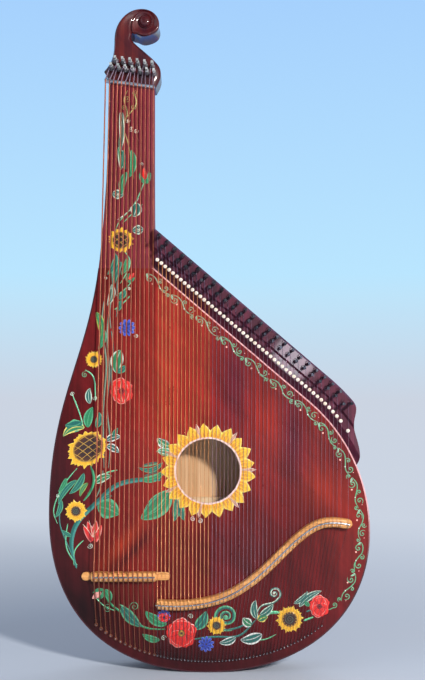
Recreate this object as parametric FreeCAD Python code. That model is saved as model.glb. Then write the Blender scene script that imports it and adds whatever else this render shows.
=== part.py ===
"""A concert bandura with 13 bass and 49 treble strings, as a bench assembly.

Frame, in millimetres: the soundboard's face is the plane y = 0 and looks along -Y,
the strings run along Z, +X is the treble side, and the origin is the lowest point
of the lower rim, where a stand's cradle carries the instrument.
"""
import FreeCAD, Part
import math
import os
from FreeCAD import Vector

# Body outline
BODY_LEFT = 247.0            # centre line to the bass flank
BODY_RIGHT = 251.5           # centre line to the treble flank
BELLY_LEFT_Z = 243.0         # height of the widest point, bass side
BELLY_RIGHT_Z = 218.0        # height of the widest point, treble side
LOBE_LEFT = 0.63             # fullness of the lower lobe, bass side
LOBE_RIGHT = 0.60            # fullness of the lower lobe, treble side
FLANK_LOWER_PULL = 179.0     # how far the bass flank holds its belly direction
FLANK_UPPER_PULL = 150.0     # how far it holds the neck's direction
NECK_JOINT_Z = 627.0         # where the neck meets the body
NECK_FOOT_LEFT = 170.4       # bass edge of the neck at the joint
NECK_RIGHT = 82.6            # treble edge of the neck, straight all the way
NECK_FLARE = 0.13            # slope of the neck's bass edge at the joint
FLANK_RADIUS = 265.0         # treble flank
EDGE_ANGLE = 40.5            # slope of the soundboard's upper treble edge, degrees
BODY_DEPTH = 82.0

# Box
BOARD_T = 3.5
BACK_T = 4.0
RIM_T = 5.0
BINDING_W = 2.0
LINING_W = 6.0
LINING_H = 12.0
BRACE_W = 8.0
BRACE_H = 12.0
BACK_BRACE_W = 10.0
BACK_BRACE_H = 14.0
BOARD_BRACES_Z = [125.0, 185.0, 245.0, 380.0, 465.0]
BACK_BRACES_Z = [130.0, 260.0, 390.0, 500.0]
TAIL_BLOCK_TOP = 95.0        # the tail block follows the rim up to this height
TAIL_BLOCK_W = 38.0
NECK_BLOCK_H = 55.0
TENON_W = 34.0
TENON_T = 36.0
TENON_LENGTH = 30.0
TENON_Y = 20.0

# Sound hole
HOLE_X = 0.0
HOLE_Z = 312.4
HOLE_R = 49.7
RING_W = 3.1
RING_T = 1.2

# Pin block, measured square to the soundboard's edge
BLOCK_WIDTH = 47.0
BLOCK_T = 34.0               # depth behind the soundboard's face
BLOCK_SHELF = 12.0           # ledge under the soundboard
LEDGE_START = 9.0            # foot slope of the bead ledge
LEDGE_END = 22.0
LEDGE_H = 9.0
FIELD_START = 25.0
FIELD_END = 44.0
FIELD_H = 14.0
BLOCK_BEVEL = 4.0
BLOCK_RUN_OUT = 36.0         # how far below the neck joint the block's inner end reaches
BLOCK_FLANK_W = 24.0         # how far inside the flank the block's lower end is cut
BLOCK_ROOM = 1.0             # cutting tool past the block's faces
SHOULDER_ANGLE = 40.3        # where the ogee starts, degrees above the belly
MERGE_ANGLE = 23.0           # where the ogee runs into the flank
OGEE = [(25.08, 0.185), (27.38, 0.283), (30.26, 0.366), (33.57, 0.468),
        (35.43, 0.581), (36.86, 0.747), (38.05, 0.887)]      # angle, share of the width

# Neck and head
NUT_LEFT_Z = 918.3
NUT_RIGHT_Z = 908.9
NECK_TOP_LEFT = 152.1
NECK_TOP_ROOM = 6.7          # the neck's blank runs past the nut before it is cut
HEEL_STEP = 2.0              # the heel stops short of the back's face
HEEL_SIDE = 52.0             # straight side of the heel
NECK_SIDE = 12.0             # straight side of the neck under the nut
NECK_DEPTH = 42.0            # depth of the neck under the nut
NECK_SECTIONS = [(0.0, 0.0, 1.0, 1.0), (0.06, 0.122, 0.85, 0.842), (0.144, 0.266, 0.5, 0.526),
                 (0.262, 0.447, 0.2, 0.237), (0.446, 0.66, 0.025, 0.079),
                 (0.715, 0.851, 0.0, 0.026), (1.0, 1.0, 0.0, 0.0)]
                             # shares of the length, the taper, the side and the depth
HEAD_SETBACK = 4.0           # head face behind the neck's face
HEAD_T = 46.0
# Head outline, from the nut's bass end
HEAD_LEFT = [(0.0, 0.0), (-4.4, 7.2), (-10.2, 15.8)]
HEAD_CURL = [(-10.2, 15.8), (-0.5, 29.2), (4.5, 43.7), (5.9, 60.7), (7.5, 78.7), (14.1, 94.2),
             (27.6, 107.2), (48.1, 112.7), (66.1, 107.7), (75.7, 93.5), (73.6, 80.2),
             (62.1, 72.7), (48.1, 71.2), (39.6, 74.7)]
HEAD_THROAT = [(39.6, 74.7), (34.1, 75.2), (31.5, 69.7), (35.6, 62.2)]
HEAD_RIGHT = [(35.6, 62.2), (42.8, 55.4), (57.0, 43.5), (69.7, 31.7), (77.1, 20.7), (78.1, 8.7)]
HEAD_OVERHANG = 1.0          # past the neck's treble edge, at the nut
SCROLL_TOP = 7               # the volute's top and underside points, about its eye
SCROLL_UNDER = 11
SCROLL_EYE_R = 8.0
SCROLL_EYE_H = 3.0
SCROLL_EYE_ROOT = 5.0        # eye let into the head

# Nut and bridges
NUT_W = 5.0
NUT_H = 7.5
NUT_OVERHANG = 8.0
BASS_FOOT = [(-196.4, -59.0), 149.3]
BASS_FOOT_W = 16.0
BASS_FOOT_H = 5.0
BASS_BLOCK = (-180.0, -80.0)
BASS_BLOCK_W = 10.0
BASS_BLOCK_H = 14.5
TREBLE_LINE = [(-81.3, 107.0), (-50.0, 105.0), (-12.0, 108.0), (25.0, 118.0),
               (60.0, 137.5), (113.3, 185.0), (150.0, 218.0), (178.0, 232.0),
               (203.0, 232.8), (223.0, 229.5)]
TREBLE_BRIDGE_W = 15.0
TREBLE_BRIDGE_H = 14.5
TREBLE_END_H = 7.0           # the bridge is scooped low past its outer strings
TREBLE_END_ROOM = 3.0        # from an outer string to the scoop
SADDLE_R = 1.4               # round saddle rod, bedded in the bridge
SADDLE_LIFT = 0.6            # rod's centre above the bridge's top
SADDLE_INSET = 2.0           # rod's ends inside the bass block's
GUIDE_R = 0.6
GUIDE_H = 2.0
GUIDE_BACK = 4.0             # guide pins below the saddle
GUIDE_ROOT = 4.0
GUIDE_GAP = 0.3              # guide pin beside its string

# Strings
BASS_COUNT = 13
BASS_NUT_X = -158.2
BASS_NUT_PITCH = 6.14
BASS_X = -175.5
BASS_PITCH = 7.55
BASS_R_THICK = 1.05
BASS_R_THIN = 0.65
CORE_R = 0.25                # a string between its pin and the nut or bead
TREBLE_COUNT = 48
TREBLE_X = -78.0
TREBLE_PITCH = 6.0
TREBLE_LAST_X = 215.1
TREBLE_WOUND = 14
WOUND_R_THICK = 0.6
WOUND_R_THIN = 0.45
PLAIN_R_THICK = 0.35
PLAIN_R_THIN = 0.25
STRING_GAP = 0.12            # between a string and what it lies on
BEND_SWELL = 1.1             # a string is a little fuller where it bends
LOOP_GAP = 0.15              # string loop to its hitch pin
LOOP_W = 1.0
LOOP_H = 1.4
LOOP_LIFT = 1.0              # loop above the soundboard
LOOP_MEET = 0.6              # how far into its loop's wall the string runs, a share

# Guide beads on the pin block's ledge
BEAD_LINE = 13.2
BEAD_R = 3.0
BEAD_T = 3.2
BEAD_PIN_R = 1.0
BEAD_LIFT = 4.2              # ledge to the bead's underside
BEAD_PIN_DEPTH = 10.0
BEAD_PIN_GRIP = 1.5          # the pin's end inside the bead
BEAD_ROUND = 1.4
BEAD_GAP = 0.1               # bead pin beside its string

# Hitch pins
HITCH_RISE = 17.7            # above the lower edge, straight up
HITCH_X = -173.5
HITCH_BASS_PITCH = 7.52
HITCH_TREBLE_X = -78.5
HITCH_TREBLE_PITCH = 5.31
HITCH_R = 1.0
HITCH_OUT = 5.0
HITCH_DEPTH = 14.0

# Tuning pins
PIN_R = 2.5
PIN_LENGTH = 50.0
PIN_OUT = 27.0
PIN_SQUARE = 3.6
PIN_SQUARE_H = 9.0
PIN_FIT = 0.04               # radial clearance of a pin in its bore
COIL_GAP = 0.2               # pin to the coil of string round it
COIL_TURNS_H = 3.0
COIL_WALL = 0.6
COIL_LIFT = 2.6              # coil above the wood
HEAD_ROWS = (19.5, 31.0)     # above the nut's line
HEAD_LOWER_X = -149.3
HEAD_LOWER_PITCH = 10.97
HEAD_UPPER_X = -142.8
HEAD_UPPER_PITCH = 11.34
RIGHT_EXIT = (1, 3, 5)       # bass strings that leave the treble side of their pins
BLOCK_ROWS = (31.0, 40.4)    # from the soundboard's edge
PIN_SIDES = (2.0, 3.0)       # treble pin beside its string, lower and upper row
TURNING_TREBLE = 16          # treble pins modelled as turning bodies
PIN_HOLE_R = 0.5             # cross hole for the string
PIN_HOLE_LIFT = 2.0          # above the coil
PIN_TAPER = 3.0
PIN_TAPER_R = 1.5
BORE_END = 1.0               # bore past the pin's inner end
BORE_START = 5.0             # drill's start in front of the wood

# Worked out
EDGE = math.radians(EDGE_ANGLE)
ARC_X = BODY_RIGHT - FLANK_RADIUS
ARC_Z = BELLY_RIGHT_Z
BACK_Y = BODY_DEPTH
NUT_SLOPE = (NUT_RIGHT_Z - NUT_LEFT_Z) / (NECK_TOP_LEFT - NECK_RIGHT)
COIL_R = PIN_R + COIL_GAP + COIL_WALL / 2
HUGE = 2000.0
OFFSET_STEPS = 12            # points along an outline curve that is moved in
HALVINGS = 40

Y_AXIS = Vector(0, 1, 0)


def at(x, z, y=0.0):
    """A point of the model from its place on the soundboard and its depth."""
    return Vector(x, y, z)


def slide(wire, y):
    """The wire moved to depth y."""
    moved = wire.copy()
    moved.translate(Vector(0, y, 0))
    return moved


def prism(wire, y0, y1):
    """The solid over a flat closed wire, from depth y0 to depth y1."""
    return Part.Face(slide(wire, y0)).extrude(Vector(0, y1 - y0, 0))


def bezier(*points):
    curve = Part.BezierCurve()
    curve.setPoles([at(*point) for point in points])
    return curve


def spline(points):
    curve = Part.BSplineCurve()
    curve.interpolate([at(x, z) for x, z in points])
    return curve.toShape()


def line(a, b):
    return Part.LineSegment(at(*a), at(*b)).toShape()


def box(x0, x1, y0, y1, z0, z1):
    return Part.makeBox(x1 - x0, y1 - y0, z1 - z0, Vector(x0, y0, z0))


def rod(radius, a, b):
    """A round rod from point a to point b."""
    return Part.makeCylinder(radius, (b - a).Length, a, b - a)


def save(name, solids):
    """Write one node: its solids stay separate where they don't touch."""
    shapes = solids if isinstance(solids, list) else [solids]
    parts = [solid for shape in shapes for solid in shape.Solids]
    node = Part.makeCompound(parts) if len(parts) > 1 else parts[0]
    node.exportStep("parts/%s.step" % name)
    bad = [part for part in parts if not part.isValid() or part.Volume <= 0]
    print("%-24s solids %3d volume %10.1f%s" % (
        name, len(parts), sum(part.Volume for part in parts), " BAD" if bad else ""))


def tangent_point(out):
    """Where the straight edge, moved out, meets the arc of the treble flank."""
    radius = FLANK_RADIUS + out
    return ARC_X + radius * math.sin(EDGE), ARC_Z + radius * math.cos(EDGE)


def edge_z(x, out):
    """Height at x of the soundboard's treble edge moved out by a distance."""
    knee_x, knee_z = tangent_point(out)
    if x <= knee_x:
        return knee_z + (knee_x - x) * math.tan(EDGE)
    return ARC_Z + math.sqrt((FLANK_RADIUS + out) ** 2 - (x - ARC_X) ** 2)


def edge_x(z, out):
    """The place along x where the straight edge, moved out, has height z."""
    knee_x, knee_z = tangent_point(out)
    return knee_x - (z - knee_z) / math.tan(EDGE)


def lower_edges(inset):
    """The bass flank and the lower lobe, moved in, from the neck joint to the treble belly."""
    foot = (-NECK_FOOT_LEFT, NECK_JOINT_Z)
    bass_belly = (-BODY_LEFT, BELLY_LEFT_Z)
    bottom = (0.0, 0.0)
    treble_belly = (BODY_RIGHT, BELLY_RIGHT_Z)
    curves = [
        bezier(foot, (-NECK_FOOT_LEFT - NECK_FLARE * FLANK_UPPER_PULL,
                      NECK_JOINT_Z - FLANK_UPPER_PULL),
               (-BODY_LEFT, BELLY_LEFT_Z + FLANK_LOWER_PULL), bass_belly),
        bezier(bass_belly, (-BODY_LEFT, BELLY_LEFT_Z * (1 - LOBE_LEFT)),
               (-BODY_LEFT * LOBE_LEFT, 0.0), bottom),
        bezier(bottom, (BODY_RIGHT * LOBE_RIGHT, 0.0),
               (BODY_RIGHT, BELLY_RIGHT_Z * (1 - LOBE_RIGHT)), treble_belly)]
    return [moved_in(curve, inset).toShape() for curve in curves]


def moved_in(curve, distance):
    """The curve moved to its left by a distance, through points square to it."""
    if distance == 0.0:
        return curve
    points, ends = [], []
    for step in range(OFFSET_STEPS + 1):
        t = step / OFFSET_STEPS
        along = curve.tangent(t)[0]
        points.append(curve.value(t) + Vector(-along.z, 0, along.x) * distance)
        if step in (0, OFFSET_STEPS):
            ends.append(along)
    moved = Part.BSplineCurve()
    moved.interpolate(Points=points, InitialTangent=ends[0], FinalTangent=ends[1])
    return moved


def flank_arc(out, low, high):
    """Arc of the treble flank, moved out, between two angles above the belly."""
    radius = FLANK_RADIUS + out
    points = []
    for share_up in (0.0, 0.5, 1.0):
        angle = low + (high - low) * share_up
        points.append(at(ARC_X + radius * math.cos(angle), ARC_Z + radius * math.sin(angle)))
    return Part.Arc(*points).toShape()


def body_wire(inset):
    """Outline of the soundboard and the box behind it, moved in."""
    edges = lower_edges(inset)
    start = edges[0].valueAt(edges[0].FirstParameter)
    corner = (edge_x(start.z, -inset), start.z)
    edges.append(flank_arc(-inset, 0.0, math.pi / 2 - EDGE))
    edges.append(line(tangent_point(-inset), corner))
    edges.append(line(corner, (start.x, start.z)))
    return Part.Wire(edges)


def body_prism(inset, y0, y1):
    """The space inside the body's outline moved in, also at the neck's end."""
    below = box(-HUGE, HUGE, y0, y1, -HUGE, NECK_JOINT_Z - inset)
    return prism(body_wire(inset), y0, y1).common(below)


def flank_point(degrees, out):
    """A point outside the treble flank at an angle above the belly."""
    angle, radius = math.radians(degrees), FLANK_RADIUS + out
    return ARC_X + radius * math.cos(angle), ARC_Z + radius * math.sin(angle)


def block_wire():
    """Outline of the pin block's zone: square to the edge, then the ogee at its end."""
    foot = flank_point(MERGE_ANGLE, -BLOCK_FLANK_W)
    merge = flank_point(MERGE_ANGLE, 0.0)
    ogee = [flank_point(degrees, share_out * BLOCK_WIDTH) for degrees, share_out in OGEE]
    shoulder = flank_point(SHOULDER_ANGLE, BLOCK_WIDTH)
    neck_corner = (-NECK_RIGHT, edge_z(-NECK_RIGHT, BLOCK_WIDTH))
    neck_inner = (-NECK_RIGHT, NECK_JOINT_Z - BLOCK_RUN_OUT)
    return Part.Wire([
        line(foot, merge), spline([merge] + ogee + [shoulder]),
        flank_arc(BLOCK_WIDTH, math.radians(SHOULDER_ANGLE), math.pi / 2 - EDGE),
        line(tangent_point(BLOCK_WIDTH), neck_corner), line(neck_corner, neck_inner),
        line(neck_inner, foot)])


def bridge_curve():
    curve = Part.BSplineCurve()
    curve.interpolate([at(x, z) for x, z in TREBLE_LINE])
    return curve


def curve_at_x(curve, x, low, high):
    """Parameter of a curve that runs steadily along x, by halving."""
    for _ in range(HALVINGS):
        middle = (low + high) / 2
        if curve.value(middle).x < x:
            low = middle
        else:
            high = middle
    return (low + high) / 2


def band(curve, half, side_steps=18):
    """Closed wire of a band about a curve, with rounded ends."""
    first, last = curve.FirstParameter, curve.LastParameter
    upper, lower = [], []
    for step in range(side_steps + 1):
        t = first + (last - first) * step / side_steps
        point, along = curve.value(t), curve.tangent(t)[0]
        across = Vector(-along.z, 0, along.x)
        upper.append(point + across * half)
        lower.append(point - across * half)
    start = curve.value(first) - curve.tangent(first)[0] * half
    end = curve.value(last) + curve.tangent(last)[0] * half
    top, bottom = Part.BSplineCurve(), Part.BSplineCurve()
    top.interpolate(upper)
    bottom.interpolate(lower)
    return Part.Wire([top.toShape(), Part.Arc(upper[-1], end, lower[-1]).toShape(),
                      bottom.toShape(), Part.Arc(lower[0], start, upper[0]).toShape()])


# Places of the strings

def treble_x(k):
    return TREBLE_LAST_X if k == TREBLE_COUNT else TREBLE_X + TREBLE_PITCH * k


def nut_z(x):
    return NUT_LEFT_Z + NUT_SLOPE * (x + NECK_TOP_LEFT)


def outline_z(x):
    """Height of the lower edge of the body at x."""
    edge = LOWER_LEFT if x < 0 else LOWER_RIGHT
    return edge.Curve.value(
        curve_at_x(edge.Curve, x, edge.FirstParameter, edge.LastParameter)).z


def share(k, count, first, last):
    return first + (last - first) * k / (count - 1)


def hitch_place(index):
    if index < BASS_COUNT:
        x = HITCH_X + HITCH_BASS_PITCH * index
    else:
        x = HITCH_TREBLE_X + HITCH_TREBLE_PITCH * (index - BASS_COUNT)
    return x, outline_z(x) + HITCH_RISE


def head_pin(index):
    """Place of bass tuning pin: even strings go to the lower row, odd to the upper."""
    row, place = index % 2, index // 2
    x = (HEAD_UPPER_X + HEAD_UPPER_PITCH * place if row
         else HEAD_LOWER_X + HEAD_LOWER_PITCH * place)
    return x, nut_z(x) + HEAD_ROWS[row]


def block_pin(k):
    """Place of treble tuning pin: even strings go to the upper row, odd to the lower."""
    row = (k + 1) % 2
    x = treble_x(k) + PIN_SIDES[row]
    return x, edge_z(x, BLOCK_ROWS[row])


def tuning_pin(x, z, face):
    """A steel pin with a squared end and a cross hole for the string."""
    inner, outer = face + PIN_LENGTH - PIN_OUT, face - PIN_OUT
    pin = Part.makeCylinder(PIN_R, PIN_LENGTH, at(x, z, outer), Y_AXIS)
    half = PIN_SQUARE / 2
    square = box(x - half, x + half, outer, outer + PIN_SQUARE_H, z - half, z + half)
    tip = Part.makeCylinder(PIN_R, PIN_SQUARE_H, at(x, z, outer), Y_AXIS)
    pin = pin.cut(tip.cut(square))
    hole_y = face - COIL_LIFT - COIL_TURNS_H - PIN_HOLE_LIFT
    hole = Part.makeCylinder(PIN_HOLE_R, 4 * PIN_R, at(x - 2 * PIN_R, z, hole_y), Vector(1, 0, 0))
    taper = Part.makeCone(PIN_TAPER_R, PIN_R, PIN_TAPER, at(x, z, inner), -Y_AXIS)
    shaft = Part.makeCylinder(PIN_R, PIN_TAPER, at(x, z, inner), -Y_AXIS)
    return pin.cut(hole).cut(shaft.cut(taper))


def bore(x, z, face):
    depth = PIN_LENGTH - PIN_OUT + BORE_END
    return Part.makeCylinder(PIN_R + PIN_FIT, depth + BORE_START, at(x, z, face - BORE_START),
                             Y_AXIS)


def coil(x, z, face):
    """The string's turns round its tuning pin, as a sleeve that clears the pin."""
    start = at(x, z, face - COIL_LIFT)
    outer = Part.makeCylinder(COIL_R + COIL_WALL / 2, COIL_TURNS_H, start, -Y_AXIS)
    inner = Part.makeCylinder(COIL_R - COIL_WALL / 2, COIL_TURNS_H, start, -Y_AXIS)
    return outer.cut(inner)


def loop(x, z):
    """The string's end loop round its hitch pin."""
    start = at(x, z, -LOOP_LIFT)
    outer = Part.makeCylinder(HITCH_R + LOOP_GAP + LOOP_W, LOOP_H, start, -Y_AXIS)
    return outer.cut(Part.makeCylinder(HITCH_R + LOOP_GAP, LOOP_H, start, -Y_AXIS))


def loop_top(x, z):
    """Where the string runs into its loop."""
    return at(x, z + HITCH_R + LOOP_GAP + LOOP_MEET * LOOP_W, -LOOP_LIFT - LOOP_H / 2)


def string(points, radii, ends):
    """Straight runs of wire through the points, rounded where they bend."""
    pieces = [rod(radius, a, b) for radius, a, b in zip(radii, points, points[1:])]
    for radius, before, point in zip(radii[1:], radii, points[1:]):
        pieces.append(Part.makeSphere(BEND_SWELL * max(radius, before), point))
    return pieces[0].fuse(pieces[1:] + ends)


os.makedirs("parts", exist_ok=True)

LOWER_LEFT, LOWER_RIGHT = lower_edges(0.0)[1:]
cavity = body_prism(RIM_T, BOARD_T, BACK_Y - BACK_T)
lined = body_prism(RIM_T + LINING_W, BOARD_T, BACK_Y - BACK_T)

# Pin block: its section along the straight edge, then round the treble flank
SECTION = [(-BLOCK_SHELF, BOARD_T), (0.0, BOARD_T), (0.0, 0.0), (LEDGE_START, -LEDGE_H),
           (LEDGE_END, -LEDGE_H), (FIELD_START, -FIELD_H), (FIELD_END, -FIELD_H),
           (BLOCK_WIDTH, -FIELD_H + BLOCK_BEVEL), (BLOCK_WIDTH, BLOCK_T),
           (-BLOCK_SHELF, BLOCK_T)]
knee_x, knee_z = tangent_point(0.0)
outward = Vector(math.sin(EDGE), 0, math.cos(EDGE))
along_edge = Vector(math.cos(EDGE), 0, -math.sin(EDGE))
section = Part.Face(Part.makePolygon(
    [at(knee_x, knee_z, y) + outward * u for u, y in SECTION + SECTION[:1]]))
straight_length = (knee_x + NECK_RIGHT) / math.cos(EDGE) + 2 * BLOCK_WIDTH
straight = section.extrude(along_edge * -straight_length)
bent = section.revolve(at(ARC_X, ARC_Z), Y_AXIS, 90.0 - EDGE_ANGLE - MERGE_ANGLE)
block_zone = prism(block_wire(), -FIELD_H - BLOCK_ROOM, BLOCK_T + BLOCK_ROOM)
block_body = straight.fuse(bent).common(block_zone)
treble_pins = [block_pin(k) for k in range(TREBLE_COUNT + 1)]
pin_block = block_body.cut([bore(x, z, -FIELD_H) for x, z in treble_pins])

# Sound box
hole = Part.makeCylinder(HOLE_R, BOARD_T, at(HOLE_X, HOLE_Z), Y_AXIS)
rebate = Part.makeCylinder(HOLE_R + RING_W, RING_T, at(HOLE_X, HOLE_Z), Y_AXIS)
whole_board = prism(body_wire(0.0), 0.0, BOARD_T)
neck_end = box(-NECK_FOOT_LEFT + BINDING_W, edge_x(NECK_JOINT_Z, -BINDING_W), 0.0, BOARD_T,
               NECK_JOINT_Z - 2 * BINDING_W, NECK_JOINT_Z)
binding = whole_board.cut(prism(body_wire(BINDING_W), 0.0, BOARD_T)).cut(neck_end)
soundboard = whole_board.cut(binding).cut(hole).cut(rebate)
ring = rebate.cut(hole)

tenon_x = -(NECK_FOOT_LEFT + NECK_RIGHT) / 2
tenon = box(tenon_x - TENON_W / 2, tenon_x + TENON_W / 2, TENON_Y, TENON_Y + TENON_T,
            NECK_JOINT_Z - TENON_LENGTH, NECK_JOINT_Z)
rim = prism(body_wire(0.0), BOARD_T, BACK_Y - BACK_T).cut(cavity).cut(block_body).cut(tenon)
back = prism(body_wire(0.0), BACK_Y - BACK_T, BACK_Y)
neck_block = cavity.common(box(-NECK_FOOT_LEFT, -NECK_RIGHT, BOARD_T, BACK_Y - BACK_T,
                               NECK_JOINT_Z - NECK_BLOCK_H, NECK_JOINT_Z)).cut(block_body)
neck_block = neck_block.cut(tenon)
tail_zone = box(-HUGE, HUGE, BOARD_T, BACK_Y - BACK_T, 0.0, TAIL_BLOCK_TOP)
tail_block = cavity.cut(body_prism(RIM_T + TAIL_BLOCK_W, BOARD_T, BACK_Y - BACK_T))
tail_block = tail_block.common(tail_zone)
lining = cavity.cut(lined).cut(block_body).cut(neck_block).cut(tail_block).cut(tenon)
top_lining = lining.common(box(-HUGE, HUGE, BOARD_T, BOARD_T + LINING_H, -HUGE, HUGE))
back_lining = lining.common(box(-HUGE, HUGE, BACK_Y - BACK_T - LINING_H, BACK_Y - BACK_T,
                                -HUGE, HUGE))
board_braces = []
for z in BOARD_BRACES_Z:
    bar = box(-HUGE, HUGE, BOARD_T, BOARD_T + BRACE_H, z - BRACE_W / 2, z + BRACE_W / 2)
    board_braces.append(bar.common(lined).cut(block_body).cut(tail_block))
back_braces = []
for z in BACK_BRACES_Z:
    bar = box(-HUGE, HUGE, BACK_Y - BACK_T - BACK_BRACE_H, BACK_Y - BACK_T,
              z - BACK_BRACE_W / 2, z + BACK_BRACE_W / 2)
    back_braces.append(bar.common(lined).cut(block_body))


# Neck: sections with a flat face and a rounded back, foot to nut

def neck_section(rise, taper, side_share, depth_share):
    """One section: a flat face, two straight sides and an arc behind."""
    z = NECK_JOINT_Z + rise * (NUT_LEFT_Z + NECK_TOP_ROOM - NECK_JOINT_Z)
    left = NECK_FOOT_LEFT + taper * (NECK_TOP_LEFT - NECK_FOOT_LEFT)
    side = NECK_SIDE + side_share * (HEEL_SIDE - NECK_SIDE)
    depth = NECK_DEPTH + depth_share * (BODY_DEPTH - HEEL_STEP - NECK_DEPTH)
    middle = -(left + NECK_RIGHT) / 2
    c, d = at(-NECK_RIGHT, z, side), at(-left, z, side)
    return Part.Wire([line((-left, z), (-NECK_RIGHT, z)),
                      Part.LineSegment(at(-NECK_RIGHT, z), c).toShape(),
                      Part.Arc(c, at(middle, z, depth), d).toShape(),
                      Part.LineSegment(d, at(-left, z)).toShape()])


neck = Part.makeLoft([neck_section(*row) for row in NECK_SECTIONS], True, False)
nut_a, nut_b = at(-HUGE, nut_z(-HUGE)), at(HUGE, nut_z(HUGE))
above_nut = Part.Face(Part.makePolygon(
    [nut_a, nut_b, nut_b + at(0, HUGE), nut_a + at(0, HUGE), nut_a])).extrude(at(0, 0, HUGE))
above_nut.translate(at(0, 0, -HUGE / 2))
neck = neck.cut(above_nut).fuse(tenon).removeSplitter()

# Head: the carved outline with the scroll's eye
def head_points(offsets):
    return [(dx - NECK_TOP_LEFT, dz + NUT_LEFT_Z) for dx, dz in offsets]


head_right_end = (-NECK_RIGHT + HEAD_OVERHANG, nut_z(-NECK_RIGHT + HEAD_OVERHANG))
head_edges = [spline(head_points(part)) for part in (HEAD_LEFT, HEAD_CURL, HEAD_THROAT)]
head_edges.append(spline(head_points(HEAD_RIGHT) + [head_right_end]))
head_edges.append(line(head_right_end, head_points(HEAD_LEFT)[0]))
head = prism(Part.Wire(head_edges), HEAD_SETBACK, HEAD_SETBACK + HEAD_T)
volute = head_points(HEAD_CURL)
scroll_x, scroll_z = [(a + b) / 2 for a, b in zip(volute[SCROLL_TOP], volute[SCROLL_UNDER])]
head = head.fuse(Part.makeCylinder(SCROLL_EYE_R, SCROLL_EYE_H + SCROLL_EYE_ROOT,
                                   at(scroll_x, scroll_z, HEAD_SETBACK - SCROLL_EYE_H), Y_AXIS))
bass_pins = [head_pin(index) for index in range(BASS_COUNT)]
head = head.cut([bore(x, z, HEAD_SETBACK) for x, z in bass_pins])

# Nut: a metal bar along the neck's end
nut_run = math.atan(NUT_SLOPE)
nut_left = -NECK_TOP_LEFT - NUT_OVERHANG
nut = Part.makeBox((-NECK_RIGHT - nut_left) / math.cos(nut_run), NUT_H, NUT_W)
nut.translate(Vector(0, -NUT_H, -NUT_W))
nut.rotate(Vector(0, 0, 0), Y_AXIS, -math.degrees(nut_run))
nut.translate(at(nut_left, nut_z(nut_left)))

# Bass bridge: a low foot with rounded ends and a raised block under the saddle
(foot_left, foot_right), bass_z = BASS_FOOT
foot_curve = Part.LineSegment(at(foot_left + BASS_FOOT_W / 2, bass_z),
                              at(foot_right - BASS_FOOT_W / 2, bass_z))
bass_bridge = prism(band(foot_curve, BASS_FOOT_W / 2, 3), -BASS_FOOT_H, 0.0)
raised = box(*BASS_BLOCK, -BASS_BLOCK_H, -BASS_FOOT_H, bass_z - BASS_BLOCK_W / 2,
             bass_z + BASS_BLOCK_W / 2)
bass_bridge = bass_bridge.fuse(raised).removeSplitter()
bass_rod_y = -BASS_BLOCK_H - SADDLE_LIFT
bass_saddle = rod(SADDLE_R, at(BASS_BLOCK[0] + SADDLE_INSET, bass_z, bass_rod_y),
                  at(BASS_BLOCK[1] - SADDLE_INSET, bass_z, bass_rod_y))
bass_bridge = bass_bridge.cut(bass_saddle)
bass_level = bass_rod_y - SADDLE_R - STRING_GAP

# Treble bridge: an S-curved band with its saddle rod bedded along the middle
def treble_curve_at(x):
    return curve_at_x(TREBLE_CURVE, x, TREBLE_CURVE.FirstParameter, TREBLE_CURVE.LastParameter)


def bridge_z(x):
    return TREBLE_CURVE.value(treble_curve_at(x)).z


TREBLE_CURVE = bridge_curve()
treble_bridge = prism(band(TREBLE_CURVE, TREBLE_BRIDGE_W / 2), -TREBLE_BRIDGE_H, 0.0)
first_t = treble_curve_at(treble_x(0) - TREBLE_END_ROOM)
last_t = treble_curve_at(TREBLE_LAST_X + TREBLE_END_ROOM)
saddle_line = TREBLE_CURVE.toShape(first_t, last_t)
treble_rod_y = -TREBLE_BRIDGE_H - SADDLE_LIFT
saddle_line.translate(at(0, 0, treble_rod_y))
saddle_end = TREBLE_CURVE.value(first_t) + at(0, 0, treble_rod_y)
circle = Part.Circle(saddle_end, TREBLE_CURVE.tangent(first_t)[0], SADDLE_R).toShape()
treble_saddle = Part.Wire(saddle_line).makePipeShell([Part.Wire(circle)], True, False)
for side, end_x in ((-1, treble_x(0)), (1, TREBLE_LAST_X)):
    scoop = box(0.0, HUGE, -HUGE, -TREBLE_END_H, -HUGE, HUGE)
    scoop = scoop if side > 0 else scoop.mirror(Vector(0, 0, 0), Vector(1, 0, 0))
    scoop.translate(at(end_x + side * TREBLE_END_ROOM, 0.0))
    treble_bridge = treble_bridge.cut(scoop)
treble_bridge = treble_bridge.cut(treble_saddle)
treble_level = treble_rod_y - SADDLE_R - STRING_GAP


def guide_pin(x, z, top):
    return Part.makeCylinder(GUIDE_R, GUIDE_H + GUIDE_ROOT, at(x, z, top - GUIDE_H), Y_AXIS)


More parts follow.
